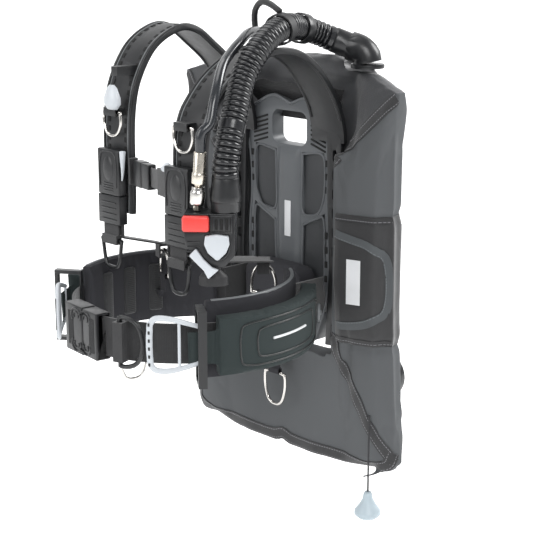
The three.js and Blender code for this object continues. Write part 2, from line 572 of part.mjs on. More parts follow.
const BELT_HIGH = BELT_Z + BELT_WIDTH / 2;
const beltHalf = BELT_THICKNESS / 2;
const BELT_REAR = 153; // where the belt turns back to its plate slot
const BUCKLE_ANGLE = -8;
const BUCKLE_FEMALE = -38;
const BUCKLE_MALE = 38;
const BUCKLE_HALF_DEPTH = 10;
const BUCKLE_TONGUE = 13;
const CLIP_SWING = 7; // degrees the clip draws out along the belt
const WAIST_BUCKLE_HEIGHT = 62;
const BELT_RING_ANGLE = 18;
const BELT_RING_OFFSET = 9;
const ringWire = 3;
const keeper = cut(box(-7, 7, -6, BELT_RING_OFFSET, -BELT_WIDTH / 2, BELT_WIDTH / 2),
  new THREE.CylinderGeometry(ringWire + 1, ringWire + 1, 80, 12).rotateX(Math.PI / 2))
  .rotateZ(radians(BELT_RING_ANGLE))
  .translate(...arcPoint(BELT_RING_ANGLE, BELT_RADIUS + BELT_RING_OFFSET), BELT_Z);
for (const [side, sign] of [['left', 1], ['right', -1]]) {
  const tip = sign > 0 ? BUCKLE_ANGLE + CLIP_SWING + 6 : BUCKLE_ANGLE - 11;
  const [slotX, slotY] = [sign * SLOT_X, -PLATE_THICKNESS / 2];
  const [turnX, turnY] = arcPoint(sign * BELT_REAR, BELT_RADIUS);
  const tie = sign * beltHalf;
  const run = arc(tip, sign * BELT_REAR, -beltHalf, beltHalf, BELT_LOW, BELT_HIGH);
  const [inX, inY] = arcPoint(sign * (BELT_REAR - 2), BELT_RADIUS);
  const back = upright(polygon([
    [inX + tie, inY - 2], [turnX + tie + sign * 1.4, turnY + 1], [slotX + tie, slotY],
    [slotX - tie, slotY], [turnX - tie - sign * 1, turnY], [inX - tie - sign * 0.4, inY],
  ]), BELT_LOW, BELT_HIGH);
  const parts = sign > 0 ? [keeper] : [];
  piece(`waist_belt_${side}`, join(run, back, ...parts), webbing);
}
const waistBuckle = onBelt(BUCKLE_ANGLE);
const tallHalf = WAIST_BUCKLE_HEIGHT / 2;
const channelHalf = BELT_WIDTH / 2 + 1.6;
piece('waist_buckle_socket',
  cut(box(BUCKLE_FEMALE, 4, -BUCKLE_HALF_DEPTH - 1, BUCKLE_HALF_DEPTH, -tallHalf, tallHalf),
    box(-BUCKLE_TONGUE - 2, 5, -6.8, 6.8, -24, 24),
    box(BUCKLE_FEMALE - 1, -20, -5, 8, -channelHalf, channelHalf)),
  blackPlastic, waistBuckle);
piece('waist_buckle_clip',
  cut(join(box(4 + GAP, BUCKLE_MALE, -BUCKLE_HALF_DEPTH, BUCKLE_HALF_DEPTH, -tallHalf + 1, tallHalf - 1),
    box(-BUCKLE_TONGUE, 8, -5.4, 5.4, -22.5, 22.5)),
  box(11, BUCKLE_MALE + 1, -5, 8.4, -channelHalf, channelHalf)),
  blackPlastic, waistBuckle);

// Black belt ring: a flat D on a vertical bar that swings away from the belt.
const beltRing = onBelt(BELT_RING_ANGLE, BELT_RING_OFFSET);
const RING_HALF = BELT_WIDTH / 2 + 6;
const bowPoints = [[0, 0, RING_HALF], [10, 0.2, RING_HALF], [24, 1.4, RING_HALF - 7], [31, 2.4, 0],
  [24, 1.4, 7 - RING_HALF], [10, 0.2, -RING_HALF], [0, 0, -RING_HALF]];
piece('belt_ring',
  join(tube(bowPoints, ringWire, 16, 6), new THREE.CylinderGeometry(ringWire, ringWire, 2 * RING_HALF + 2, 6)
    .rotateX(Math.PI / 2)),
  blackPlastic, beltRing);
// Hip pads, pocket frames and weight pockets, one set each side.
const PAD_FROM = 58;
const PAD_TO = 150;
const POCKET_FROM = 62;
const POCKET_TO = 140;
const POCKET_CLEAR = 1.2;
const POCKET_LOW = BELT_Z - POCKET_HEIGHT / 2;
const POCKET_HIGH = BELT_Z + POCKET_HEIGHT / 2;
const POCKET_IN = beltHalf + 1.5;
const POCKET_OUT = POCKET_IN + POCKET_THICKNESS;
const FRAME_FROM = 54;
const FRAME_TO = 57.5;
const HANDLE_FROM = 33;
const HANDLE_OUT = 16.5; // stands clear of the ring's keeper and the buckle when the pocket is drawn
// Thin accessory ring on a tab below the right hip pad.
const SIDE_RING_ANGLE = -98;
const SIDE_RING_DROP = 40;
const toSide = (geometry) => geometry
  .rotateZ(radians(SIDE_RING_ANGLE))
  .translate(...arcPoint(SIDE_RING_ANGLE, BELT_RADIUS - 9), POCKET_LOW - SIDE_RING_DROP);
const sideBore = new THREE.CylinderGeometry(3, 3, 60, 10).rotateZ(Math.PI / 2);
const sideTab = toSide(
  cut(join(box(-9, 9, -4.5, 4.5, -5, 5), box(-9, 9, -1.5, 1.5, 4, SIDE_RING_DROP)), sideBore));
piece('accessory_ring', toSide(dRing(46, 48, 4)), steel);
for (const [side, sign] of [['left', 1], ['right', -1]]) {
  const pad = arc(sign * PAD_FROM, sign * PAD_TO, -beltHalf - GAP - 14, -beltHalf - GAP, POCKET_LOW - 5,
    POCKET_HIGH + 11);
  const eye = new THREE.CylinderGeometry(3.6, 3.6, 60, 10).rotateZ(Math.PI / 2);
  const [near, far] = [-10, sign * 38].sort((a, b) => a - b);
  const hipTab = join(cut(box(-11, 11, -5, 5, -24, 5), eye), box(near, far, -5, 5, -34, -22))
    .rotateZ(radians(HIP_RING_TURN[side]))
    .translate(...HIP_RING_AT[side]);
  piece(`hip_pad_${side}`, join(pad, hipTab, ...(sign < 0 ? [sideTab] : [])), padFabric);
  const frame = arc(sign * FRAME_FROM, sign * FRAME_TO, -4, POCKET_OUT + 5, POCKET_LOW - 6, POCKET_HIGH + 6, 2);
  const opening = arc(sign * (FRAME_FROM - 2), sign * (FRAME_TO + 2), -beltHalf - 0.8,
    POCKET_OUT + POCKET_CLEAR, POCKET_LOW - POCKET_CLEAR, POCKET_HIGH + POCKET_CLEAR, 2);
  piece(`pocket_frame_${side}`, cut(frame, opening), blackPlastic);
  const body = arc(sign * POCKET_FROM, sign * POCKET_TO, POCKET_IN, POCKET_OUT, POCKET_LOW, POCKET_HIGH, 4);
  const tongue = arc(sign * (HANDLE_FROM + 16), sign * (POCKET_FROM + 2), POCKET_IN + HANDLE_OUT - 1.5,
    POCKET_IN + HANDLE_OUT + 1.5, BELT_LOW, BELT_HIGH, 4);
  piece(`weight_pocket_${side}`, join(body, tongue), pocketRubber);
  const rise = POCKET_IN + HANDLE_OUT;
  const grip = sign * HANDLE_FROM;
  const gripArm = (z) => arc(grip, sign * (HANDLE_FROM + 24), rise - 3, rise + 3, z - 3.5, z + 3.5, 4);
  const bar = arc(sign * (HANDLE_FROM + 12), sign * (HANDLE_FROM + 13.6), rise - 2.4, rise + 2.4, -35, 35, 2)
    .translate(0, 0, BELT_Z + 4);
  const bow = arc(grip, sign * (HANDLE_FROM + 3), rise - 3, rise + 3, -38, 38, 3).translate(0, 0, BELT_Z + 4);
  const handle = cut(join(bow, gripArm(BELT_Z + 38), gripArm(BELT_Z - 30), bar),
    arc(sign * (HANDLE_FROM + 14), sign * (HANDLE_FROM + 30), rise - 2.1, rise + 2.1, BELT_LOW - 0.6,
      BELT_HIGH + 0.6, 4));
  piece(`pocket_handle_${side}`, handle, lightPlastic);
}

// Lumbar pad against the plate, and the ring that hangs below it for the crotch strap.
const LOW_RING_AT = [5, -53, -222];
const lowBore = new THREE.CylinderGeometry(3.6, 3.6, 60, 10).rotateZ(Math.PI / 2);
const lowTab = cut(join(box(-12, 12, -5, 5, -6, 5), box(-12, 12, -2, 2, 4, 75)), lowBore)
  .translate(...LOW_RING_AT);
const lumbar = facing(roundedBox(112, 96, 20), -56, -PLATE_THICKNESS - GAP).translate(0, 0, BELT_Z - 8);
piece('lumbar_pad', join(lumbar, lowTab), padFabric);
piece('crotch_ring', dRing(44, 50, RING_WIRE).translate(...LOW_RING_AT), steel);

// Power inflator on the end of the corrugated hose. Local +X runs across its face, -Y out of it.
const inflator = new THREE.Group();
inflator.position.set(...INFLATOR_AT);
inflator.rotation.z = INFLATOR_TURN;
part.add(inflator);
const bodyX = INFLATOR_WIDTH / 2;
const bodyY = INFLATOR_DEPTH / 2;
const bodyZ = INFLATOR_HEIGHT / 2;
const BUTTON_TRAVEL = 4;
const BUTTON_CLEAR = 0.5;
const inflateButton = { x: [-bodyX - 2, 0], z: [bodyZ - 21, bodyZ - 2], front: -bodyY - 7, back: -bodyY + 6 };
const dumpOutline = [[-5, 22], [9, 24], [23, 22], [24, 12], [20, 2], [11, -7], [8, -7], [-2, 2], [-6, 12]];
const shield = (grow) => {
  const [cx, cz] = [9, 9];
  return polygon(dumpOutline.map(([x, z]) => {
    const reach = Math.hypot(x - cx, z - cz);
    return [cx + ((x - cx) * (reach + grow)) / reach, cz + ((z - cz) * (reach + grow)) / reach - 16];
  }));
};
const DUMP_FRONT = -bodyY - 5;
const bodyOutline = [[-bodyX, bodyZ], [bodyX, bodyZ], [bodyX, -bodyZ + 14], [bodyX - 12, -bodyZ],
  [-12, -bodyZ], [-bodyX + 6, -bodyZ + 20], [-bodyX, -bodyZ + 34]];
const neckBore = new THREE.CylinderGeometry(11, 11, 20, 16).rotateX(Math.PI / 2).translate(NECK_X, 0, bodyZ);
const inflatorBody = cut(
  facing(polygon(bodyOutline), -bodyY, bodyY),
  box(inflateButton.x[0] - 1, inflateButton.x[1] + BUTTON_CLEAR, -60, inflateButton.back + BUTTON_TRAVEL + 1,
    inflateButton.z[0] - BUTTON_CLEAR, inflateButton.z[1] + BUTTON_CLEAR),
  facing(shield(BUTTON_CLEAR), -60, -bodyY + 6 + BUTTON_TRAVEL + 1),
  neckBore,
);
piece('inflator_body', inflatorBody, blackPlastic, inflator);
piece('inflate_button',
  box(...inflateButton.x, inflateButton.front, inflateButton.back, ...inflateButton.z), redPlastic, inflator);
piece('dump_button', facing(shield(0), DUMP_FRONT, -bodyY + 6), lightPlastic, inflator);
const neckProfile = [[0, -8], [10, -8], [10, GAP], [17.5, GAP], [17.5, 12], [18.5, 13], [18.5, 20],
  [16.5, 34], [16.5, 41], [0, 41]];
piece('inflator_neck',
  turned(neckProfile, 20).translate(NECK_X, 0, bodyZ), hoseRubber, inflator);
const mouthpiece = turned([[0, 0], [9, 0], [9, -8], [17, -15], [18, -26], [0, -26]].reverse(), 20)
  .scale(1, 0.7, 1)
  .translate(3, 2, -bodyZ - GAP);
piece('mouthpiece', cut(mouthpiece, turned([[0, -30], [14.5, -30], [13, -16], [6, -10], [0, -10]], 16)
  .scale(1, 0.62, 1).translate(3, 2, -bodyZ)), rubber, inflator);
const clipTurn = new THREE.Group();
clipTurn.position.set(-8, -bodyY - 4.5, -bodyZ + 6);
clipTurn.rotation.y = radians(-42);
inflator.add(clipTurn);
piece('hose_clip', facing(polygon([[-6, 17], [6, 18], [4, 2], [5, -12], [9, -19], [-8, -19], [-5, -8]]), -3, 3),
  lightPlastic, clipTurn);

// Low-pressure feed: quick disconnect on the inflator, crimped ferrule, hose and tank-end fitting.
const FEED_AT = inflatorPoint(-16, -2, bodyZ + GAP);
const FEED_TOWARDS = [FEED_AT[0] + 8, FEED_AT[1], FEED_AT[2] + 76];
const alongFeed = (distance) => {
  const from = new THREE.Vector3(...FEED_AT);
  const to = new THREE.Vector3(...FEED_TOWARDS);
  return from.add(to.sub(from).normalize().multiplyScalar(distance)).toArray();
};
const COUPLING_LENGTH = 46;
const FERRULE_LENGTH = 26;
const SLEEVE_TRAVEL = 4;
const feedCore = turned([[0, 1], [4.5, 1], [4.5, 34], [8.5, 34], [8.5, COUPLING_LENGTH],
  [7.5, COUPLING_LENGTH + 1], [7.5, COUPLING_LENGTH + FERRULE_LENGTH], [0, COUPLING_LENGTH + FERRULE_LENGTH]], 14);
const sleeve = turned([[4.9, 8], [8, 8], [9, 11], [9, 24], [7.6, 26], [7.6, 34 - SLEEVE_TRAVEL],
  [4.9, 34 - SLEEVE_TRAVEL], [4.9, 8]], 16);
piece('feed_release_sleeve', aimed(sleeve, FEED_AT, FEED_TOWARDS), steel);
piece('feed_coupling', aimed(feedCore, FEED_AT, FEED_TOWARDS), steel);
const feedStart = alongFeed(COUPLING_LENGTH + FERRULE_LENGTH + GAP);
const feedRoute = [
  feedStart, alongFeed(COUPLING_LENGTH + FERRULE_LENGTH + 22), [133, -286, 162], [131, -278, 183],
  [125, -266, 203], [112, -246, 224], [97, -218, 238], [84, -190, 249], [68, -162, 256], [54, -134, 256],
  [46, -104, 252], [42, -74, 248], [41, -44, 245], [42, -16, 243], [43, 8, 239], [44, 24, 226],
  [44.5, 31, 205], [45, 33, 180], [46, 33, 155], [47, 33, 130],
];
piece('feed_hose', tube(feedRoute, FEED_HOSE_RADIUS, 44, 8), hoseRubber);
const feedEnd = feedRoute[feedRoute.length - 1];
const fittingProfile = [[0, -34], [4.8, -34], [4.8, -24], [8.5, -24], [8.5, -15], [7.2, -15],
  [7.2, -GAP], [0, -GAP]];
piece('feed_fitting', turned(fittingProfile, 12).translate(...feedEnd), steel);

// Band that ties the hose to the wing, and the carry handle over the harness.
const BAND_AT = [77, -78, 258];
const bandRing = turned([[HOSE_RADIUS + 1.6, -7], [HOSE_RADIUS + 3.4, -7], [HOSE_RADIUS + 3.4, 7],
  [HOSE_RADIUS + 1.6, 7], [HOSE_RADIUS + 1.6, -7]], 20);
piece('hose_band', aimed(bandRing, BAND_AT, [74, -60, 255]), webbing);
const COLLAR_AT = [101, -138, 261.6];
const collarTop = COLLAR_AT[2] + HOSE_RADIUS;
const handleRoute = [[36, -112, 240], [28, -112, 258], [34, -118, 280], [54, -126, 292], [76, -133, 291],
  [92, -137, collarTop + 8.4], [99, -138, collarTop + 5.4]];
const collar = turned([[HOSE_RADIUS + 1.8, -8], [HOSE_RADIUS + 3.6, -8], [HOSE_RADIUS + 3.6, 8],
  [HOSE_RADIUS + 1.8, 8], [HOSE_RADIUS + 1.8, -8]], 16);
piece('carry_handle',
  join(tube(handleRoute, 4, 16, 8), aimed(collar, COLLAR_AT, [93, -118, 264])), rubber);

// Bottom dump pull: the cord leaves its sleeve in the seam and passes a guide loop to its knob.
const cordRoute = [
  [PULL_X, PULL_Y, PULL_EXIT_Z + PULL_SLEEVE], [PULL_X, PULL_Y, PULL_EXIT_Z],
  [PULL_X, PULL_Y, PULL_EXIT_Z - 30],
  [PULL_X, PULL_Y, WING_BOTTOM + 6], [PULL_X, PULL_Y, PULL_KNOB_TOP + GAP],
];
piece('pull_cord', tube(cordRoute, CORD_RADIUS, 10, 8), webbing);
const knobProfile = [[0, 0], [4.5, 0], [6, -4], [7, -10], [12, -19], [17.5, -26], [18, -31], [13, -36], [0, -37]];
piece('pull_knob', turned(knobProfile.reverse(), 20).translate(PULL_X, PULL_Y, PULL_KNOB_TOP), knobPlastic);

// Rear dump valve: housing in the wing's seat, poppet on its seat, slotted cover.
const valve = new THREE.Group();
valve.position.set(...VALVE_AT);
part.add(valve);
const toRear = (geometry) => geometry.rotateX(-Math.PI / 2);
const housingProfile = [[8, -4], [VALVE_RADIUS, -4], [VALVE_RADIUS, 14], [VALVE_RADIUS - 3, 14],
  [VALVE_RADIUS - 3, -1], [8, -1], [8, -4]];
piece('dump_valve_poppet', toRear(turned([[0, 0], [14, 0], [14, 3], [3, 3], [3, 6], [0, 6]], 20)), knobPlastic, valve);
const coverProfile = [[0, 12], [VALVE_RADIUS - 2, 12], [VALVE_RADIUS - 2, 14], [20, 18], [0, 19]];
const vents = [0, 60, 120].map((turn) =>
  toRear(new THREE.BoxGeometry(4, 44, 30).rotateZ(radians(turn)).translate(0, 0, 16)));
const hub = toRear(turned([[0, 10], [5, 10], [5, 17], [0, 17]], 12));
const cover = join(cut(toRear(turned(coverProfile, 24)), ...vents), hub);
piece('dump_valve_housing', join(toRear(turned(housingProfile, 24)), cover), blackPlastic, valve);

// Tank bands: closed loops of webbing through the plate's tunnels, each with a cam buckle.
const bandPath = [
  [0, -10], [46, -10], [53, -8], [54, 3], [66, 10], [76, 24], [66, 44], [36, 54], [0, 57],
  [-36, 54], [-66, 44], [-76, 24], [-66, 10], [-54, 3], [-53, -8], [-46, -10],
];
const bandCurve = new THREE.CatmullRomCurve3(bandPath.map(([x, y]) => new THREE.Vector3(x, y, 0)), true,
  'centripetal');
const bandSide = (offset, steps) => Array.from({ length: steps }, (_, i) => {
  const at = bandCurve.getPoint(i / steps);
  const along = bandCurve.getTangent(i / steps);
  return new THREE.Vector2(at.x + along.y * offset, at.y - along.x * offset);
});
const bandShape = new THREE.Shape(bandSide(1.2, 60));
bandShape.holes.push(new THREE.Path(bandSide(-1.2, 60)));
for (const [level, z] of [['upper', BAND_HEIGHTS[0]], ['lower', BAND_HEIGHTS[1]]]) {
  const band = upright(bandShape, z - BAND_WIDTH / 2, z + BAND_WIDTH / 2);
  const cam = new THREE.Group();
  cam.position.set(10, 59.5, z);
  part.add(cam);
  const frame = cut(box(-26, 26, -3, 12, -30, 30), box(-27, 27, 1, 13, -25, 25));
  piece(`tank_band_${level}`, join(band, frame.translate(10, 59.5, z)), webbing);
  const roller = new THREE.CylinderGeometry(4, 4, 48, 12).rotateX(Math.PI / 2).translate(14, 8, 0);
  const lever = join(roller, box(-44, 14, 6.2, 10, -23, 23));
  piece(`cam_lever_${level}`, lever, blackPlastic, cam);
}

export default part;
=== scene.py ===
"""Back-inflation diving vest: air cell, moulded backplate, harness, weight pockets and power inflator.

+X is the diver's left, -Y the diver's front, +Z up, in metres. The origin is the middle of the plate's
rear face.
"""
import json
import math

import bpy
from mathutils import Matrix, Vector, noise
from mathutils.bvhtree import BVHTree

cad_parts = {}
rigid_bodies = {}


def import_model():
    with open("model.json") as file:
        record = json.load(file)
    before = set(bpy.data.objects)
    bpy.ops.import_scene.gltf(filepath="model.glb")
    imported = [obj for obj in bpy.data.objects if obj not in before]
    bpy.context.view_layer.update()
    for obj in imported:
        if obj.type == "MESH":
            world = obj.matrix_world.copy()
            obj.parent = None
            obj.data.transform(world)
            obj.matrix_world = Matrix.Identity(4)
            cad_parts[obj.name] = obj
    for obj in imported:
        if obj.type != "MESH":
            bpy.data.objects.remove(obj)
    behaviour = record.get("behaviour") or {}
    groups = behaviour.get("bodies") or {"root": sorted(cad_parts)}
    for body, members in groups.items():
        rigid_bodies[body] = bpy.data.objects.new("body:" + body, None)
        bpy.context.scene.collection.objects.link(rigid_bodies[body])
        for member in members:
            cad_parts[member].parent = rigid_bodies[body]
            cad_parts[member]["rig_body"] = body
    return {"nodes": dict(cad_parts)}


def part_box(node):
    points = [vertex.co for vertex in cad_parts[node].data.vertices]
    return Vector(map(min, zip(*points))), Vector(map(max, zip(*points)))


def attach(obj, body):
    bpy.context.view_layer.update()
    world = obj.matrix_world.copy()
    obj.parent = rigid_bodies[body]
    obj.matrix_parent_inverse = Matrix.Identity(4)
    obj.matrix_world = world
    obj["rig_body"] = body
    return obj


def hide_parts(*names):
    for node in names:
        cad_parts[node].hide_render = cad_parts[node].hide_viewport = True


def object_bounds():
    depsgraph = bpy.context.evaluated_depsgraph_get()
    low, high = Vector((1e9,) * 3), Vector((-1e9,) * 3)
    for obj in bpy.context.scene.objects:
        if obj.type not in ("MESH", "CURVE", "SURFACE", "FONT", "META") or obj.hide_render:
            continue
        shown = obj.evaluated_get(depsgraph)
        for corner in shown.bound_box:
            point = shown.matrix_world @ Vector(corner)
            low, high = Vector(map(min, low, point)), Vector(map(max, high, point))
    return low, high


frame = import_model()
cad_box = [list(corner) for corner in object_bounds()]
bpy.ops.object.select_all(action="DESELECT")

# ----------------------------------------------------------------------------------------------------
# Studio: a pale floor that sweeps up behind the vest, broad soft lamps on both sides and one from behind
# that picks out the edges of the black parts, and a camera to the left of the diver's front.
camera = bpy.data.objects.new("camera", bpy.data.cameras.new("camera"))
bpy.context.scene.collection.objects.link(camera)
camera.location = (1.3777, -1.3956, 0.4040)
camera_target = Vector((-0.0182, -0.0475, -0.0798))
camera.rotation_euler = (camera_target - camera.location).to_track_quat("-Z", "Y").to_euler()
camera.data.lens = 96.4
camera.data.sensor_width = 36
bpy.context.scene.camera = camera

FLOOR_HEIGHT = cad_box[0][2] - 0.012
bpy.ops.mesh.primitive_grid_add(x_subdivisions=2, y_subdivisions=60, size=1)
floor = bpy.context.object
floor.name = "floor"
camera_back = Vector((-0.72, 0.69, 0))
camera_side = Vector((0.69, 0.72, 0))
for corner in floor.data.vertices:
    away = corner.co.y * 7 + 1.2
    rise = max(0.0, away - 1.6)
    place = camera_side * corner.co.x * 12 + camera_back * min(away, 2.4 + 0.2 * rise)
    corner.co = (place.x, place.y, FLOOR_HEIGHT + 0.55 * rise ** 2)
floor.data.shade_smooth()
pale = bpy.data.materials.new("floor_paper")
pale.use_nodes = True
pale.node_tree.nodes["Principled BSDF"].inputs["Base Color"].default_value = (0.86, 0.86, 0.86, 1)
pale.node_tree.nodes["Principled BSDF"].inputs["Roughness"].default_value = 0.9
pale.node_tree.nodes["Principled BSDF"].inputs["Emission Color"].default_value = (1, 1, 1, 1)
pale.node_tree.nodes["Principled BSDF"].inputs["Emission Strength"].default_value = 0.5
floor.data.materials.append(pale)

bpy.context.scene.view_settings.view_transform = "Standard"
world = bpy.data.worlds.new("studio")
bpy.context.scene.world = world
world.use_nodes = True
world.node_tree.nodes["Background"].inputs["Color"].default_value = (0.95, 0.97, 1, 1)
world.node_tree.nodes["Background"].inputs["Strength"].default_value = 0.42
for lamp_name, lamp_at, lamp_size, lamp_power in [
    ("key", (1.9, -1.3, 1.5), 1.2, 40), ("front", (-0.6, -2.2, 0.9), 1.6, 26),
    ("rim", (0.9, 1.6, 1.3), 1.0, 42), ("top", (-0.5, -0.2, 2.0), 1.4, 20),
]:
    lamp = bpy.data.objects.new(lamp_name, bpy.data.lights.new(lamp_name, "AREA"))
    bpy.context.scene.collection.objects.link(lamp)
    lamp.location = lamp_at
    lamp.rotation_euler = (camera_target - lamp.location).to_track_quat("-Z", "Y").to_euler()
    lamp.data.size = lamp_size
    lamp.data.energy = lamp_power


# ----------------------------------------------------------------------------------------------------
# Low-pressure feed hose: smooth black rubber, crimped into a silver ferrule above the quick coupling. It
# climbs beside the corrugated hose, crosses the shoulder and hangs behind the plate to its threaded brass
# fitting.
def take(*pieces):
    """Makes these the only selected objects, the first one active."""
    bpy.ops.object.select_all(action="DESELECT")
    for piece in pieces:
        piece.select_set(True)
    bpy.context.view_layer.objects.active = pieces[0]


def finished(piece, material, body, node=None):
    """Gives a piece its finish, the body it rides, the node it replaces, if any."""
    piece.data.materials.append(material)
    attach(piece, body)
    if node:
        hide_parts(node)


def through(points, step):
    """Evenly spaced points on a smooth curve through the given ones."""
    points = [Vector(point) for point in points]
    ends = [2 * points[0] - points[1], *points, 2 * points[-1] - points[-2]]
    line = []
    for a, b, c, d in zip(ends, ends[1:], ends[2:], ends[3:]):
        ta, tb, tc = ((q - p).length ** 0.5 for p, q in ((a, b), (b, c), (c, d)))
        out = ((b - a) / ta - (c - a) / (ta + tb) + (c - b) / tb) * tb
        back = ((c - b) / tb - (d - b) / (tb + tc) + (d - c) / tc) * tb
        for i in range(40):
            t = i / 40
            line.append(b * (2 * t ** 3 - 3 * t * t + 1) + out * (t ** 3 - 2 * t * t + t)
                        + c * (3 * t * t - 2 * t ** 3) + back * (t ** 3 - t * t))
    line.append(points[-1])
    reach = [0.0]
    for a, b in zip(line, line[1:]):
        reach.append(reach[-1] + (b - a).length)
    count = max(2, round(reach[-1] / step))
    even, k = [], 0
    for i in range(count + 1):
        at = reach[-1] * i / count
        while k < len(reach) - 2 and reach[k + 1] < at:
            k += 1
        even.append(line[k].lerp(line[k + 1], min(1, (at - reach[k]) / max(1e-9, reach[k + 1] - reach[k]))))
    return even


def length_of(line):
    return sum((b - a).length for a, b in zip(line, line[1:]))


def tube(name, line, radius, sides=6, swell=None):
    """A round tube along a line of points, its radius times swell(i) at point i."""
    curve = bpy.data.curves.new(name, "CURVE")
    curve.dimensions = "3D"
    curve.bevel_depth = radius
    curve.bevel_resolution = sides
    curve.use_fill_caps = True
    spline = curve.splines.new("POLY")
    spline.points.add(len(line) - 1)
    for i, point in enumerate(line):
        spline.points[i].co = (*point, 1)
        spline.points[i].radius = swell(i) if swell else 1
    piece = bpy.data.objects.new(name, curve)
    bpy.context.scene.collection.objects.link(piece)
    take(piece)
    bpy.ops.object.convert(target="MESH")
    piece = bpy.context.object
    bpy.ops.object.mode_set(mode="EDIT")
    bpy.ops.mesh.select_all(action="SELECT")
    bpy.ops.mesh.remove_doubles(threshold=1e-6)
    bpy.ops.mesh.normals_make_consistent(inside=False)
    bpy.ops.object.mode_set(mode="OBJECT")
    bpy.ops.object.shade_smooth_by_angle(angle=math.radians(50))
    return piece


def moulded(name, colour, roughness, grain=0.0006, relief=0.25, mottle=0.1, metal=0.0, coat=0.0, sheen=0.0):
    """A finish with a fine grain, a slow change of tone and scuffs that dull it, by place on the piece."""
    material = bpy.data.materials.new(name)
    material.use_nodes = True
    nodes, links = material.node_tree.nodes, material.node_tree.links
    shader = nodes["Principled BSDF"]
    shader.inputs["Metallic"].default_value = metal
    shader.inputs["Coat Weight"].default_value = coat
    shader.inputs["Sheen Weight"].default_value = sheen
    place = nodes.new("ShaderNodeTexCoord")
    tone = nodes.new("ShaderNodeTexNoise")
    tone.inputs["Scale"].default_value = 28
    tone.inputs["Detail"].default_value = 6
    shades = nodes.new("ShaderNodeValToRGB")
    shades.color_ramp.elements[0].position = 0.3
    shades.color_ramp.elements[1].position = 0.7
    shades.color_ramp.elements[0].color = (*[c * (1 - mottle) for c in colour], 1)
    shades.color_ramp.elements[1].color = (*[min(1, c * (1 + mottle)) for c in colour], 1)
    dull = nodes.new("ShaderNodeMapRange")
    dull.inputs["To Min"].default_value = max(0.02, roughness - 0.07)
    dull.inputs["To Max"].default_value = min(1, roughness + 0.09)
    scuff = nodes.new("ShaderNodeTexNoise")
    scuff.inputs["Scale"].default_value = 110
    scuff.inputs["Detail"].default_value = 3
    fine = nodes.new("ShaderNodeTexNoise")
    fine.inputs["Scale"].default_value = 1 / grain
    bump = nodes.new("ShaderNodeBump")
    bump.inputs["Strength"].default_value = relief
    bump.inputs["Distance"].default_value = grain / 6
    for texture in (tone, scuff, fine):
        links.new(place.outputs["Object"], texture.inputs["Vector"])
    links.new(tone.outputs["Fac"], shades.inputs["Fac"])
    links.new(shades.outputs["Color"], shader.inputs["Base Color"])
    links.new(scuff.outputs["Fac"], dull.inputs["Value"])
    links.new(dull.outputs["Result"], shader.inputs["Roughness"])
    links.new(fine.outputs["Fac"], bump.inputs["Height"])
    links.new(bump.outputs["Normal"], shader.inputs["Normal"])
    return material


def rounded(node, name, material, slot, edge=0.0008, segments=2, merge=1e-5, flat=2.0, shade=38):
    """A copy of a CAD node with its flats cleaned and its edges rounded, in its own finish."""
    source = frame["nodes"][node]
    piece = bpy.data.objects.new(name, source.data.copy())
    bpy.context.scene.collection.objects.link(piece)
    take(piece)
    bpy.ops.object.mode_set(mode="EDIT")
    bpy.ops.mesh.select_all(action="SELECT")
    bpy.ops.mesh.remove_doubles(threshold=merge)
    bpy.ops.mesh.dissolve_limited(angle_limit=math.radians(flat))
    bpy.ops.object.mode_set(mode="OBJECT")
    if edge:
        bevel = piece.modifiers.new("edge", "BEVEL")
        bevel.width = edge
        bevel.segments = segments
        bevel.limit_method = "ANGLE"
        bevel.angle_limit = math.radians(32)
        bevel.harden_normals = False
        bpy.ops.object.modifier_apply(modifier="edge")
    piece.data.materials.clear()
    piece.data.materials.append(material)
    bpy.ops.object.shade_smooth_by_angle(angle=math.radians(shade))
    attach(piece, source["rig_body"])
    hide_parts(node)
    return piece


glossy_rubber = moulded("feed_hose_rubber", (0.011, 0.013, 0.016), 0.24, grain=0.0012, relief=0.1, coat=0.3)
polished_steel = moulded("polished_steel", (0.62, 0.6, 0.57), 0.17, grain=0.002, relief=0.04, metal=1.0)
brushed_brass = moulded("plated_brass", (0.66, 0.61, 0.53), 0.26, grain=0.002, relief=0.05, metal=1.0)
feed_route = through([(x / 1000, y / 1000, z / 1000) for x, y, z in [
    (126.74, -294.87, 130.4), (129, -294.87, 151.9), (133, -286, 162), (131, -278, 183), (125, -266, 203),
    (112, -246, 224), (97, -218, 238), (84, -190, 249), (68, -162, 256), (54, -134, 256), (46, -104, 252),
    (42, -74, 248), (41, -44, 245), (42, -16, 243), (43, 8, 239), (44, 24, 226), (44.5, 31, 205),
    (45, 33, 180),
    (46, 33, 155), (47, 33, 130)]], 0.003)
FEED_RADIUS = 0.006
feed_hose = tube("feed_hose_rubber", feed_route, FEED_RADIUS, sides=7)
finished(feed_hose, glossy_rubber, "vest", "feed_hose")
feed_fitting = rounded("feed_fitting", "feed_hose_fitting", brushed_brass, "steel", edge=0.0005)
rounded("feed_coupling", "feed_coupling_core", brushed_brass, "steel", edge=0.0005)
rounded("feed_release_sleeve", "feed_release_grip", polished_steel, "steel", edge=0.0004)

# Bottom dump pull: a thin black cord out of the lower seam, with a flared blue-grey knob to grip.
cord_weave = moulded("cord_weave", (0.02, 0.02, 0.022), 0.7, grain=0.0009, relief=0.6)
knob_plastic = moulded("knob_plastic", (0.38, 0.45, 0.49), 0.38, grain=0.0015, relief=0.08, mottle=0.05)
pull_route = through([(0.174, -0.044, -0.246), (0.174, -0.044, -0.3536)], 0.003)
CORD_RADIUS = 0.0012
pull_cord = tube("pull_cord_line", pull_route, CORD_RADIUS, sides=3)
finished(pull_cord, cord_weave, "bottom_pull", "pull_cord")
pull_grip = rounded("pull_knob", "pull_knob_grip", knob_plastic, "knob_plastic", edge=0, shade=60)


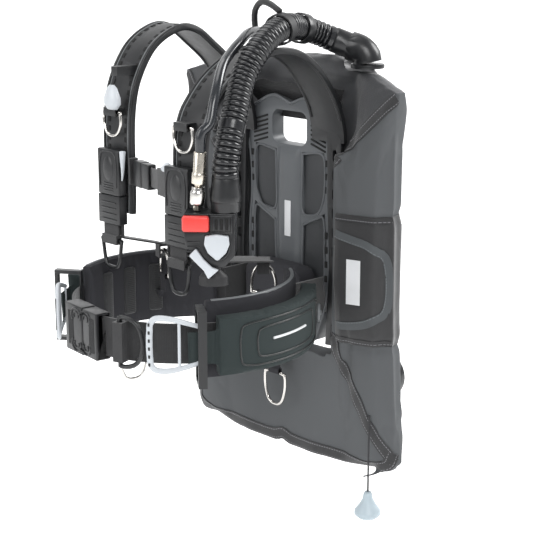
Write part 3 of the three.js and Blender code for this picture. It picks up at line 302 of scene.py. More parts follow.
# ----------------------------------------------------------------------------------------------------
# Air cell: two welded lobes of coated nylon over a bladder, joined above and below the plate. It is cut
# from the filled shape drawn in a little, then air fills it, while the part that lies against the rails
# is held still.
def skin_of(node, name, inset, voxel, even):
    """A CAD soft solid as one even mesh, drawn in so that filling brings it back to its size."""
    piece = bpy.data.objects.new(name, frame["nodes"][node].data.copy())
    bpy.context.scene.collection.objects.link(piece)
    take(piece)
    bpy.ops.object.mode_set(mode="EDIT")
    bpy.ops.mesh.select_all(action="SELECT")
    bpy.ops.mesh.remove_doubles(threshold=1e-5)
    bpy.ops.object.mode_set(mode="OBJECT")
    piece.data.remesh_voxel_size = voxel
    bpy.ops.object.voxel_remesh()
    smooth = piece.modifiers.new("even", "SMOOTH")
    smooth.factor = 0.5
    smooth.iterations = even
    bpy.ops.object.modifier_apply(modifier="even")
    drawn = [vertex.co - vertex.normal * inset for vertex in piece.data.vertices]
    for vertex, place in zip(piece.data.vertices, drawn):
        vertex.co = place
    return piece


def fill(piece, pressure, cap, held=None, frames=20):
    """Lets air or foam push a fabric skin out, no point further than the cap."""
    rest = [vertex.co.copy() for vertex in piece.data.vertices]
    cloth = piece.modifiers.new("cloth", "CLOTH")
    cloth.settings.use_pressure = True
    cloth.settings.uniform_pressure_force = pressure
    cloth.settings.effector_weights.gravity = 0
    if held:
        group = piece.vertex_groups.new(name="held")
        group.add([vertex.index for vertex in piece.data.vertices if held(vertex.co)], 1, "REPLACE")
        cloth.settings.vertex_group_mass = "held"
    for step in range(1, frames + 1):
        bpy.context.scene.frame_set(step)
    take(piece)
    bpy.ops.object.modifier_apply(modifier="cloth")
    bpy.context.scene.frame_set(1)
    piece.vertex_groups.clear()
    for vertex, start in zip(piece.data.vertices, rest):
        moved = vertex.co - start
        if moved.length > cap:
            vertex.co = start + moved * (cap / moved.length)


def subdivided(piece, levels=1):
    take(piece)
    finer = piece.modifiers.new("finer", "SUBSURF")
    finer.levels = finer.render_levels = levels
    bpy.ops.object.modifier_apply(modifier="finer")
    bpy.ops.object.shade_smooth()


def woven(name, colour, roughness=0.6, pitch=0.0008, depth=0.00012, axes=("X", "Z"), wrinkle=0.0, sheen=0.25):
    """Cloth whose threads run along two axes of the piece, with a slow change of tone and soft wrinkles."""
    material = moulded(name, colour, roughness, grain=0.0022, relief=0.12, mottle=0.07, sheen=sheen)
    nodes, links = material.node_tree.nodes, material.node_tree.links
    place = nodes.new("ShaderNodeTexCoord")
    threads = []
    for axis in axes:
        wave = nodes.new("ShaderNodeTexWave")
        wave.bands_direction = axis
        wave.inputs["Scale"].default_value = 0.314 / pitch
        links.new(place.outputs["Object"], wave.inputs["Vector"])
        threads.append(wave)
    both = nodes.new("ShaderNodeMath")
    both.operation = "MULTIPLY"
    links.new(threads[0].outputs["Fac"], both.inputs[0])
    links.new(threads[1].outputs["Fac"], both.inputs[1])
    weave = nodes.new("ShaderNodeBump")
    weave.inputs["Strength"].default_value = 0.6
    weave.inputs["Distance"].default_value = depth
    links.new(both.outputs["Value"], weave.inputs["Height"])
    before = nodes["Principled BSDF"].inputs["Normal"].links[0].from_socket
    links.new(before, weave.inputs["Normal"])
    links.new(weave.outputs["Normal"], nodes["Principled BSDF"].inputs["Normal"])
    if wrinkle:
        fold = nodes.new("ShaderNodeTexNoise")
        fold.inputs["Scale"].default_value = 14
        fold.inputs["Detail"].default_value = 4
        fold.inputs["Distortion"].default_value = 0.6
        soft = nodes.new("ShaderNodeBump")
        soft.inputs["Strength"].default_value = 0.5
        soft.inputs["Distance"].default_value = wrinkle
        links.new(place.outputs["Object"], fold.inputs["Vector"])
        links.new(fold.outputs["Fac"], soft.inputs["Height"])
        links.new(weave.outputs["Normal"], soft.inputs["Normal"])
        links.new(soft.outputs["Normal"], nodes["Principled BSDF"].inputs["Normal"])
    return material


coated_nylon = woven("coated_nylon", (0.03, 0.031, 0.034), 0.37, pitch=0.0009, wrinkle=0.0025, sheen=0.15)
black_mesh = woven("black_mesh", (0.012, 0.012, 0.013), 0.75, pitch=0.0024, depth=0.0006, sheen=0.1)
SEAM_X = 0.112
SLEEVE_TOP, SLEEVE_BOTTOM = 0.022, -0.152
wing = skin_of("air_cell", "wing", inset=0.0035, voxel=0.005, even=4)
fill(wing, 3.5, 0.009, held=lambda co: abs(co.x) < SEAM_X + 0.004 and co.y < -0.012)
outward = [vertex.normal.copy() for vertex in wing.data.vertices]
for vertex, normal in zip(wing.data.vertices, outward):
    outer = max(0.0, min(1.0, (abs(vertex.co.x) - SEAM_X) / 0.03))
    pinch = sum(math.exp(-((vertex.co.z - level) / 0.007) ** 2) for level in (SLEEVE_TOP, SLEEVE_BOTTOM))
    vertex.co -= normal * 0.0035 * pinch * outer
    if vertex.co.z < SLEEVE_BOTTOM and vertex.co.y < 0:
        ripple = noise.noise(Vector((vertex.co.x * 18, 0, vertex.co.z * 9)))
        vertex.co.y += 0.0025 * ripple * min(1, (SLEEVE_BOTTOM - vertex.co.z) / 0.05)
subdivided(wing)
wing.data.materials.append(coated_nylon)
wing.data.materials.append(black_mesh)
for face in wing.data.polygons:
    across, up = abs(face.center.x), face.center.z
    face.material_index = 1 if up > 0.1 and across < SEAM_X + max(0, up - 0.09) * 0.95 else 0
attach(wing, "vest")
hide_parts("air_cell")
wing_surface = BVHTree.FromObject(wing, bpy.context.evaluated_depsgraph_get())

# Binding tape and elastic: grey-black tape sewn with two rows of stitches along the wing's edge and over
# its seams.
STITCH = 0.0042


def stitched(name, colour, thread, width, rows=(0.16, 0.84), roughness=0.7):
    """Ribbed tape with rows of sewn dashes, on the strip's own map: u along it, v across, in metres."""
    material = moulded(name, colour, roughness, grain=0.001, relief=0.5, mottle=0.12, sheen=0.2)
    nodes, links = material.node_tree.nodes, material.node_tree.links
    shader = nodes["Principled BSDF"]

    def sum_of(operation, first, second, third=None):
        step = nodes.new("ShaderNodeMath")
        step.operation = operation
        for socket, value in zip(step.inputs, (first, second, third)):
            if isinstance(value, bpy.types.NodeSocket):
                links.new(value, socket)
            elif value is not None:
                socket.default_value = value
        return step.outputs["Value"]

    place = nodes.new("ShaderNodeUVMap")
    place.uv_map = "UVMap"
    parts = nodes.new("ShaderNodeSeparateXYZ")
    links.new(place.outputs["UV"], parts.inputs["Vector"])
    along, across = parts.outputs["X"], parts.outputs["Y"]
    dash = sum_of("LESS_THAN", sum_of("FRACT", sum_of("DIVIDE", along, STITCH), 0), 0.68)
    row = None
    for share in rows:
        near = sum_of("COMPARE", across, share * width, 0.00055)
        row = near if row is None else sum_of("ADD", row, near)
    sewn = sum_of("MULTIPLY", dash, row)
    ribs = sum_of("SINE", sum_of("MULTIPLY", across, 2 * math.pi / 0.0016), 0)
    height = sum_of("ADD", sum_of("MULTIPLY", ribs, 0.25), sewn)
    bump = nodes.new("ShaderNodeBump")
    bump.inputs["Strength"].default_value = 0.7
    bump.inputs["Distance"].default_value = 0.0004
    links.new(height, bump.inputs["Height"])
    links.new(shader.inputs["Normal"].links[0].from_socket, bump.inputs["Normal"])
    links.new(bump.outputs["Normal"], shader.inputs["Normal"])
    tint = nodes.new("ShaderNodeMix")
    tint.data_type = "RGBA"
    links.new(sewn, tint.inputs["Factor"])
    links.new(shader.inputs["Base Color"].links[0].from_socket, tint.inputs["A"])
    tint.inputs["B"].default_value = (*thread, 1)
    links.new(tint.outputs["Result"], shader.inputs["Base Color"])
    return material


def strip(name, count, columns, place, length, width, thickness, offset=1.0):
    """A strip of cloth or rubber: place(u, v) is where its points lie, and its map is in metres."""
    bpy.ops.object.select_all(action="DESELECT")
    bpy.ops.mesh.primitive_grid_add(x_subdivisions=count, y_subdivisions=columns, size=1)
    piece = bpy.context.object
    piece.name = name
    for corner in piece.data.vertices:
        corner.co = place(min(1, max(0, corner.co.x + 0.5)), min(1, max(0, corner.co.y + 0.5)))
    for loop in piece.data.uv_layers[0].data:
        loop.uv = (loop.uv.x * length, loop.uv.y * width)
    piece.data.uv_layers[0].name = "UVMap"
    if thickness:
        wall = piece.modifiers.new("wall", "SOLIDIFY")
        wall.thickness = thickness
        wall.offset = offset
        bpy.ops.object.modifier_apply(modifier="wall")
    bpy.ops.object.shade_smooth_by_angle(angle=math.radians(40))
    return piece


def laid(name, route, width, material, surface, front=True, lift=0.0004, thickness=0.0011, columns=4):
    """A tape that lies on a surface, along points given by x and z, seen from the front or the rear."""
    aim = Vector((0, 1 if front else -1, 0))
    far = -0.6 if front else 0.6
    line = through([(x, 0, z) for x, z in route], 0.005)

    def on_surface(x, z):
        spot, normal, _, _ = surface.ray_cast(Vector((x, far, z)), aim)
        return (None, None) if spot is None else (spot, normal)

    middle = []
    for point in line:
        spot, normal = on_surface(point.x, point.z)
        if spot is not None:
            middle.append((spot, normal))
    tangents = [(middle[min(i + 1, len(middle) - 1)][0] - middle[max(i - 1, 0)][0]).normalized()
                for i in range(len(middle))]
    length = length_of([spot for spot, _ in middle])

    def place(u, v):
        at = u * (len(middle) - 1)
        i = min(int(at), len(middle) - 2)
        spot = middle[i][0].lerp(middle[i + 1][0], at - i)
        normal = middle[i][1].lerp(middle[i + 1][1], at - i).normalized()
        side = normal.cross(tangents[i].lerp(tangents[i + 1], at - i)).normalized()
        wanted = spot + side * (v - 0.5) * width
        near, face_normal, _, away = surface.find_nearest(wanted)
        if near is None or away > width:
            return wanted + normal * lift
        return near + face_normal * lift

    piece = strip(name, len(middle) - 1, columns, place, length, width, thickness)
    piece.data.materials.append(material)
    return piece


BINDING = 0.017
binding = stitched("binding_tape", (0.013, 0.013, 0.014), (0.14, 0.14, 0.15), BINDING)
seam_route = [(0.2, 0.176), (0.162, 0.14), (0.128, 0.106), (0.114, 0.086), (0.112, 0.03), (0.112, -0.05),
              (0.113, -0.13), (0.12, -0.165), (0.146, -0.216), (0.172, -0.268), (0.19, -0.302),
              (0.198, -0.318)]
rear_seam = [(0.1, 0.19), (0.096, 0.12), (0.095, 0), (0.095, -0.15), (0.096, -0.25), (0.1, -0.31)]
hem_route = [(-0.196, -0.3), (-0.188, -0.318), (-0.16, -0.325), (-0.08, -0.325), (-0.015, -0.324),
             (0, -0.319),
             (0.015, -0.324), (0.08, -0.325), (0.16, -0.325), (0.188, -0.318), (0.196, -0.3)]
tapes = [laid("wing_hem_tape", hem_route, BINDING, binding, wing_surface)]
for side_name, sign in (("left", 1), ("right", -1)):
    tapes.append(laid(f"wing_seam_tape_{side_name}", [(sign * x, z) for x, z in seam_route], BINDING, binding,
                      wing_surface))
    tapes.append(laid(f"wing_rear_tape_{side_name}", [(sign * x, z) for x, z in rear_seam], 0.012, binding,
                      wing_surface, front=False))
for tape in tapes:
    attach(tape, "vest")

# Side sleeves: dark elastic cloth round each lobe at waist height, with a paler woven stripe that bends
# round a panel, and a plain light bar in the middle of it.
elastic = woven("elastic_sleeve", (0.012, 0.012, 0.013), 0.62, pitch=0.0012, depth=0.0002, wrinkle=0.001)
pale_stripe = stitched("sleeve_stripe", (0.05, 0.056, 0.06), (0.11, 0.12, 0.125), 0.013, rows=(0.1, 0.9))
print_white = moulded("printed_white", (0.62, 0.63, 0.64), 0.5, grain=0.0012, relief=0.3, mottle=0.04)
for side_name, sign in (("left", 1), ("right", -1)):
    sleeve = bpy.data.objects.new(f"side_sleeve_{side_name}", wing.data.copy())
    bpy.context.scene.collection.objects.link(sleeve)
    take(sleeve)
    sleeve.data.materials.clear()
    sleeve.data.materials.append(elastic)
    bpy.ops.object.mode_set(mode="EDIT")
    for plane, normal in (((0, 0, SLEEVE_TOP), (0, 0, 1)), ((0, 0, SLEEVE_BOTTOM), (0, 0, -1)),
                          ((sign * (SEAM_X + 0.009), 0, 0), (-sign, 0, 0))):
        bpy.ops.mesh.select_all(action="SELECT")
        bpy.ops.mesh.bisect(plane_co=plane, plane_no=normal, clear_outer=True)
    bpy.ops.object.mode_set(mode="OBJECT")
    wall = sleeve.modifiers.new("wall", "SOLIDIFY")
    wall.thickness = 0.0012
    wall.offset = 1
    bpy.ops.object.modifier_apply(modifier="wall")
    bpy.ops.object.shade_smooth()
    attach(sleeve, "vest")
    sleeve_surface = BVHTree.FromObject(sleeve, bpy.context.evaluated_depsgraph_get())
    stripe_route = [(0.124, -0.004), (0.15, -0.01), (0.172, -0.016), (0.186, -0.028), (0.1915, -0.05),
                    (0.1915, -0.09), (0.186, -0.108), (0.17, -0.12), (0.146, -0.126), (0.124, -0.128)]
    for label, route, width, finish in (
            ("sleeve_stripe", stripe_route, 0.011, pale_stripe),
            ("sleeve_hem_top", [(0.123, 0.017), (0.16, 0.017), (0.203, 0.017)], 0.008, binding),
            ("sleeve_hem_bottom", [(0.123, -0.147), (0.16, -0.147), (0.203, -0.147)], 0.008, binding),
            ("sleeve_bar", [(0.152, -0.036), (0.152, -0.06), (0.152, -0.096)], 0.02, print_white)):
        tape = laid(f"{label}_{side_name}", [(sign * x, z) for x, z in route], width, finish, sleeve_surface,
                    lift=0.0003, thickness=0.0006)
        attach(tape, "vest")


# ----------------------------------------------------------------------------------------------------
# Backplate: one satin grey moulding. A smooth spine stands proud between four sunk panels with raised
# rims, a grab handle is cut through the top, and rows of slanted vents flank it. The vents are not cut:
# they are near-black slabs on its face, painted shade where the openings are.
plate_grey = moulded("plate_satin", (0.088, 0.094, 0.1), 0.4, grain=0.0009, relief=0.22, mottle=0.05)
plate_dark = moulded("plate_panel", (0.03, 0.032, 0.035), 0.5, grain=0.0007, relief=0.4, mottle=0.06)
# Near-black for slots, vents and slits, laid on as flat slabs instead of cut: painted shade where the
# openings are.
slot_painted_shade = moulded("slot_painted_shade", (0.004, 0.004, 0.004), 0.8)
plate = rounded("backplate", "plate_moulding", plate_grey, "plate_plastic", edge=0.0014, segments=3)
plate.data.materials.append(plate_dark)
PLATE_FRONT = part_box("backplate")[0].y
for face in plate.data.polygons:
    if PLATE_FRONT + 0.003 < face.center.y < PLATE_FRONT + 0.005 and face.normal.y < -0.9:
        face.material_index = 1


def rail_of(name, route, radius, material, squash=1.0):
    """A raised bead: a tube along a line, flattened front to back."""
    piece = tube(name, through(route, 0.004), radius, sides=3)
    middle = route[0][1]
    for vertex in piece.data.vertices:
        vertex.co.y = middle + (vertex.co.y - middle) * squash
    piece.data.materials.append(material)
    return piece


def join_all(name, pieces, material=None):
    take(*pieces)
    bpy.ops.object.join()
    pieces[0].name = name
    if material:
        pieces[0].data.materials.append(material)
    return pieces[0]


rims = []
upper = [(0.026, 0.084), (0.06, 0.088), (0.066, 0.082), (0.066, 0.03), (0.06, 0.012), (0.052, 0.004),
         (0.03, 0.001), (0.025, 0.008), (0.025, 0.05), (0.026, 0.084)]
lower = [(0.027, -0.014), (0.05, -0.003), (0.064, 0.002), (0.0675, -0.01), (0.068, -0.04), (0.067, -0.096),
         (0.051, -0.143), (0.044, -0.149), (0.025, -0.149), (0.023, -0.14), (0.025, -0.07), (0.027, -0.014)]
for sign in (1, -1):
    for outline in (upper, lower):
        rims.append(rail_of("rim", [(sign * x, PLATE_FRONT, z) for x, z in outline], 0.0016, plate_grey, 0.8))
edge_line = [(0.002, 0.15), (0.031, 0.159), (0.06, 0.147), (0.083, 0.131), (0.081, 0.1), (0.0745, 0.062),
             (0.0735, 0.02), (0.078, -0.03), (0.0745, -0.1), (0.061, -0.148), (0.049, -0.172), (0, -0.1755)]
rims.append(rail_of("rim", [(x, PLATE_FRONT, z) for x, z in edge_line]
                    + [(-x, PLATE_FRONT, z) for x, z in reversed(edge_line[1:-1])]
                    + [(0.002, PLATE_FRONT, 0.15)], 0.0019, plate_grey, 0.9))
plate_rims = join_all("plate_rims", rims)


def spine_place(u, v):
    height = 0.09 - u * 0.255
    half = 0.0205 + 0.002 * math.sin(u * 5)
    x = (v - 0.5) * 2
    lift = 0.0032 * (1 - x ** 6) * min(1, u / 0.03, (1 - u) / 0.03)
    return Vector((x * half, PLATE_FRONT - 0.0001 - lift, height))


spine = strip("plate_spine", 48, 16, spine_place, 0.255, 0.042, 0)
bpy.ops.object.mode_set(mode="EDIT")
bpy.ops.mesh.select_all(action="SELECT")
bpy.ops.mesh.extrude_region_move(TRANSFORM_OT_translate={"value": (0, 0.0012, 0)})
bpy.ops.mesh.select_all(action="SELECT")
bpy.ops.mesh.normals_make_consistent(inside=False)
bpy.ops.object.mode_set(mode="OBJECT")
bpy.ops.object.shade_smooth_by_angle(angle=math.radians(50))
spine.data.materials.append(plate_grey)


def slab(name, size, place, turn=(0, 0, 0), edge=0.0006, material=None, segments=2):
    """A block with rounded edges at a place, turned about it."""
    bpy.ops.object.select_all(action="DESELECT")
    bpy.ops.mesh.primitive_cube_add(size=1)
    piece = bpy.context.object
    piece.name = name
    spin = (Matrix.Translation(Vector(place)) @ Matrix.Rotation(turn[2], 4, "Z")
            @ Matrix.Rotation(turn[1], 4, "Y") @ Matrix.Rotation(turn[0], 4, "X"))
    piece.data.transform(spin @ Matrix.Diagonal((*size, 1)))
    if edge:
        bevel = piece.modifiers.new("edge", "BEVEL")
        bevel.width = edge
        bevel.segments = segments
        bpy.ops.object.modifier_apply(modifier="edge")
    bpy.ops.object.shade_smooth_by_angle(angle=math.radians(40))
    if material:
        piece.data.materials.append(material)
    return piece


# The vents are thin near-black slabs on the plate's face: painted shade in place of openings.
vents = []
for sign in (1, -1):
    for i in range(6):
        vents.append(slab("vent", (0.029, 0.0016, 0.0026),
                          (sign * 0.055, PLATE_FRONT - 0.0004, 0.1265 - i * 0.0062), turn=(0, sign * 0.3, 0),
                          material=slot_painted_shade))
    for height in (0.076, 0.058, 0.04, -0.022, -0.042, -0.062, -0.082):
        vents.append(slab("vent", (0.005, 0.0016, 0.009), (sign * 0.0715, PLATE_FRONT - 0.0004, height),
                          material=slot_painted_shade))
plate_vents = join_all("plate_vents", vents)
bar_badge = slab("plate_badge_bar", (0.0115, 0.0016, 0.05), (0.001, PLATE_FRONT - 0.0036, -0.008),
                 edge=0.0007, material=print_white)
for piece in (plate_rims, spine, plate_vents, bar_badge):
    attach(piece, "vest")


# ----------------------------------------------------------------------------------------------------
# Corrugated hose: black satin rubber moulded in even rings, with one smooth band, from the inflator's
# neck up the chest and over the shoulder into a smooth cuff and a ribbed elbow on the wing's top edge.
hose_black = moulded("corrugated_rubber", (0.009, 0.0095, 0.011), 0.27, grain=0.0012, relief=0.15, coat=0.12)
smooth_black = moulded("satin_black_plastic", (0.009, 0.0095, 0.0105), 0.33, grain=0.001, relief=0.2)


def black_part(node, name, **shape):
    """A node's rounded copy in satin black plastic."""
    return rounded(node, name, smooth_black, "black_plastic", **shape)


HOSE_RADIUS = 0.016
INFLATOR_AT = Vector((0.1295, -0.2825, 0.026))
INFLATOR_TURN = Matrix.Rotation(math.radians(43), 4, "Z")


def on_inflator(x, y, z):
    return INFLATOR_AT + INFLATOR_TURN @ Vector((x, y, z))


hose_line = through([on_inflator(0.018, 0, 0.0734), on_inflator(0.018, 0, 0.0854)] + [
    (x / 1000, y / 1000, z / 1000) for x, y, z in [
        (141, -263, 138), (137, -254, 157), (132, -243, 177), (124, -229, 198), (118, -213, 217),
        (117, -198, 234),
        (114, -178, 250), (107, -152, 260), (93, -118, 264), (79, -88, 260), (74, -65, 256), (77, -48, 250.5),
        (86, -32, 243)]], 0.00085)
RING_PITCH = 8
hose_count = len(hose_line)


def ring_swell(i):
    """Rounded crests and narrow troughs, fading to smooth at both ends and at one band low on the hose."""
    share = i / (hose_count - 1)
    phase = (i % RING_PITCH) / RING_PITCH
    wave = 1 - 0.17 * (1 - abs(math.sin(math.pi * phase))) ** 1.6
    plain = share < 0.012 or share > 0.985 or 0.155 < share < 0.185
    return 1.0 if plain else wave


corrugated = tube("corrugated_hose_rubber", hose_line, HOSE_RADIUS, sides=9, swell=ring_swell)
finished(corrugated, hose_black, "vest", "corrugated_hose")
black_part("shoulder_elbow", "shoulder_elbow_moulding", edge=0.0012, flat=0.5,
        shade=60)
rounded("inflator_neck", "inflator_neck_cone", smooth_black, "hose_rubber", edge=0.0008, flat=0.5, shade=50)
rounded("hose_band", "hose_band_loop", smooth_black, "webbing", edge=0.0004, flat=0.5)
grip_black = moulded("grip_rubber", (0.009, 0.009, 0.01), 0.55, grain=0.0009, relief=0.4)
rounded("carry_handle", "carry_handle_loop", grip_black, "rubber", edge=0, flat=0.5, shade=60)


# ----------------------------------------------------------------------------------------------------
# Harness: moulded rubber straps that rise from slotted rails on the plate, go over the shoulders and down
# the chest. Each has a raised bead and a pale reflective line near both edges, and rows of small slots
# between them, drawn as near-black slabs of painted shade rather than cut.
strap_rubber = moulded("strap_rubber", (0.0095, 0.01, 0.011), 0.42, grain=0.0008, relief=0.35)
reflective = moulded("reflective_edge", (0.13, 0.137, 0.142), 0.35, grain=0.0008, relief=0.2, mottle=0.08)
STRAP_WIDTH = 0.058
STRAP_HALF = 0.003
strap_paths = {
    "left": (0.05, [(-26, 108), (-28, 128), (-42, 165), (-78, 210), (-112, 230), (-144, 235), (-173, 231),
                    (-203, 218), (-228, 201), (-248, 180), (-260, 162), (-267, 135), (-269, 105), (-267, 70),
                    (-259, 38), (-253, 20)]),
    "right": (-0.12, [(-26, 108), (-28, 128), (-38, 160), (-70, 205), (-100, 230), (-128, 250), (-152, 256),
                      (-181, 248), (-204, 233), (-220, 213), (-233, 188), (-240, 160), (-243, 125),
                      (-243, 80),
                      (-243, 50), (-244, 20)]),
}


def beside(line, out):
    """The line moved off its strap's outer face by a distance."""
    moved = []
    for i, point in enumerate(line):
        along = (line[min(i + 1, len(line) - 1)] - line[max(i - 1, 0)]).normalized()
        moved.append(point + Vector((0, along.z, -along.y)) * out)
    return moved


for side_name, (inner_x, points) in strap_paths.items():
    rounded(f"harness_{side_name}", f"harness_strap_{side_name}", strap_rubber, "rubber", edge=0.0009,
            flat=0.5, shade=32)
    line = through([(0, y / 1000, z / 1000) for y, z in points], 0.004)[8:]
    beads, glints, holes = [], [], []
    for across in (0.0032, STRAP_WIDTH - 0.0032):
        for face in (STRAP_HALF, -STRAP_HALF):
            route = [Vector((inner_x + across, p.y, p.z)) for p in beside(line, face)]
            beads.append(tube("bead", route, 0.0019, sides=3))
    for across in (0.0072, STRAP_WIDTH - 0.0072):
        route = [Vector((inner_x + across, p.y, p.z)) for p in beside(line, STRAP_HALF)]
        glints.append(tube("glint", route, 0.0009, sides=2))
    outer = beside(line, STRAP_HALF)
    # The slots are small near-black slabs on the strap's face: painted shade in place of holes.
    for i in range(3, len(outer) - 3, 3):
        along = (outer[i + 1] - outer[i - 1]).normalized()
        lean = math.atan2(along.y, along.z)
        for across in (0.0125, STRAP_WIDTH - 0.0125):
            holes.append(slab("hole", (0.0042, 0.0012, 0.0068), (inner_x + across, outer[i].y, outer[i].z),
                              turn=(-lean, 0, 0), edge=0.0004, segments=1))
    bead = join_all(f"strap_beads_{side_name}", beads, strap_rubber)
    glint = join_all(f"strap_reflectors_{side_name}", glints, reflective)
    hole = join_all(f"strap_slots_{side_name}", holes, slot_painted_shade)
    for piece in (bead, glint, hole):
        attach(piece, "vest")

# Flap of the wing's mesh, tucked down behind the top of the plate.
flap_line = through([(0, -0.0202, 0.178), (0, -0.0175, 0.168), (0, -0.0105, 0.157), (0, -0.0045, 0.144),
                     (0, -0.0025, 0.128)], 0.002)


def on_flap(u, v):
    spot = flap_line[round(u * (len(flap_line) - 1))]
    half = 0.1 - 0.034 * u
    sag = 0.0015 * math.sin(v * 31) * (1 - u)
    return Vector(((v * 2 - 1) * half, spot.y - sag * 0.3, spot.z + sag))


top_flap = strip("top_flap", 24, 40, on_flap, 0.055, 0.19, 0.0012)
finished(top_flap, black_mesh, "vest")

# Rings: bent stainless wire, welded shut, each free to swing on its webbing loop. The pull rings and the
# belt ring are black nylon mouldings.
for name in ("chest_ring_left", "chest_ring_right", "hip_ring_left", "hip_ring_right", "accessory_ring",
             "crotch_ring"):
    ring = rounded(name, f"{name}_wire", polished_steel, "steel", edge=0, flat=0.1, shade=70)
    finer = ring.modifiers.new("finer", "SUBSURF")
    finer.levels = finer.render_levels = 1
    take(ring)
    bpy.ops.object.modifier_apply(modifier="finer")
    bpy.ops.object.shade_smooth()
for name in ("pull_ring_left", "pull_ring_right", "belt_ring"):
    black_part(name, f"{name}_loop", edge=0, flat=0.1, shade=70)

# Shoulder buckles: a housing on the strap and an adjuster that clips in below it, both satin black
# mouldings. A plain oval boss stands on each housing, with grip ribs and a moulded frame round it.
for side_name, x, y in (("left", 0.074, -0.289), ("right", -0.091, -0.263)):
    black_part(f"shoulder_buckle_{side_name}", f"buckle_housing_{side_name}", edge=0.0028, segments=4)
    black_part(f"shoulder_adjuster_{side_name}", f"adjuster_frame_{side_name}", edge=0.0014, segments=3)
    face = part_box(f"shoulder_buckle_{side_name}")[0].y
    bpy.ops.object.select_all(action="DESELECT")
    bpy.ops.mesh.primitive_uv_sphere_add(segments=32, ring_count=16, radius=1)
    boss = bpy.context.object
    boss.name = f"buckle_boss_{side_name}"
    boss.data.transform(Matrix.Translation((x, face + 0.0006, 0.079))
                        @ Matrix.Diagonal((0.011, 0.0026, 0.0165, 1)))
    boss.data.materials.append(smooth_black)
    bpy.ops.object.shade_smooth()
    arch = ((-0.017, 0.055), (-0.0175, 0.085), (-0.012, 0.0995), (0.012, 0.0995), (0.0175, 0.085),
            (0.017, 0.055))
    bars = [rail_of("rim", [(x + dx, face, z) for dx, z in arch], 0.0011, smooth_black)]
    for i in range(4):
        bars.append(slab("rib", (0.02, 0.0016, 0.0014), (x, face, 0.05 + i * 0.0032), edge=0.0005,
                         material=smooth_black))
    frame_bars = join_all(f"buckle_ribs_{side_name}", bars)
    for piece in (boss, frame_bars):
        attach(piece, "vest")
    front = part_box(f"shoulder_adjuster_{side_name}")[0].y
    teeth = [slab("tooth", (0.03, 0.002, 0.0018), (x, front, 0.012 + i * 0.0075), edge=0.0006,
                  material=smooth_black) for i in range(4)]
    grip = join_all(f"adjuster_bars_{side_name}", teeth)
    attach(grip, f"shoulder_adjuster_{side_name}")

# Webbing: tightly woven black nylon, folded and sewn at its ends.
flat_webbing = woven("flat_webbing", (0.0075, 0.0075, 0.0085), 0.72, pitch=0.0016, depth=0.0004, sheen=0.3)
for name in ("shoulder_webbing_left", "shoulder_webbing_right", "sternum_strap_left", "sternum_strap_right",
             "waist_belt_left", "waist_belt_right", "tank_band_upper", "tank_band_lower"):
    rounded(name, f"{name}_web", flat_webbing, "webbing", edge=0.0003, segments=1, flat=0.3, shade=30)
for name in ("sternum_buckle_socket", "sternum_buckle_clip"):
    black_part(name, f"{name}_moulding", edge=0.0016, segments=3)
light_grey = moulded("light_grey_plastic", (0.45, 0.475, 0.5), 0.32, grain=0.0014, relief=0.08, mottle=0.03)
lever_route = [(-0.0605, -0.2625, 0.104), (-0.057, -0.2655, 0.092), (-0.0585, -0.2645, 0.078),
               (-0.064, -0.2615, 0.066)]
stud_route = [(0.0475, -0.2775, 0.101), (0.0485, -0.2835, 0.0995), (0.049, -0.287, 0.0985)]
strap_studs = [tube("lever", through(lever_route, 0.002), 0.0034, swell=lambda i: 1.25 - 0.05 * i),
               tube("stud", through(stud_route, 0.002), 0.0052, swell=lambda i: 1 - 0.06 * i)]
for stud, stud_name in zip(strap_studs, ("sternum_lever", "sternum_stud")):
    stud.name = stud_name
    finished(stud, light_grey, "vest")
rounded("shoulder_pull_knob", "shoulder_pull_grip", light_grey, "light_plastic", edge=0, flat=0.3, shade=60)
rounded("shoulder_pull_cord", "shoulder_pull_line", cord_weave, "webbing", edge=0, flat=0.1, shade=60)

# ----------------------------------------------------------------------------------------------------
# Waist: hip pads of spacer mesh behind the belt, coated weight pockets in slotted frames, white pull
# handles and a big squeeze buckle in front.
WAIST = Vector((0, -0.212, -0.105))
HANDLE_REACH = 0.1645  # from the waist's axis to the middle of a pull handle
POCKET_SHARE = 0.9  # height of a pocket's pouch against its solid


def round_waist(angle, radius, up=0.0):
    turn = math.radians(angle)
    return Vector((radius * math.sin(turn), WAIST.y - radius * math.cos(turn), WAIST.z + up))


bow = through([(56.4, 25, 0), (50, 31, 0), (42, 36.5, 0), (37, 36.5, 0), (34.6, 31, 0), (34, 20, 0),
               (33.8, 4, 0), (34, -12, 0), (34.6, -23, 0), (37, -28.5, 0), (42, -28.5, 0), (50, -23, 0),
               (56.4, -17, 0)], 1.5)


def bow_swell(i):
    """A pull handle is thickest in the middle of its bow."""
    return 0.62 + 0.38 * max(0, math.cos(math.pi * (i / (len(bow) - 1) - 0.5))) ** 0.7


def surface_of(piece):
    return BVHTree.FromObject(piece, bpy.context.evaluated_depsgraph_get())


def on_waist(surface, angle, up, lift, otherwise=0.172):
    """The spot a little outside a surface, straight in toward the waist's axis."""
    start = round_waist(angle, 0.22, up)
    aim = (round_waist(angle, 0, up) - start).normalized()
    spot = surface.ray_cast(start, aim, 0.1)[0]
    return round_waist(angle, otherwise, up) if spot is None else spot - aim * lift


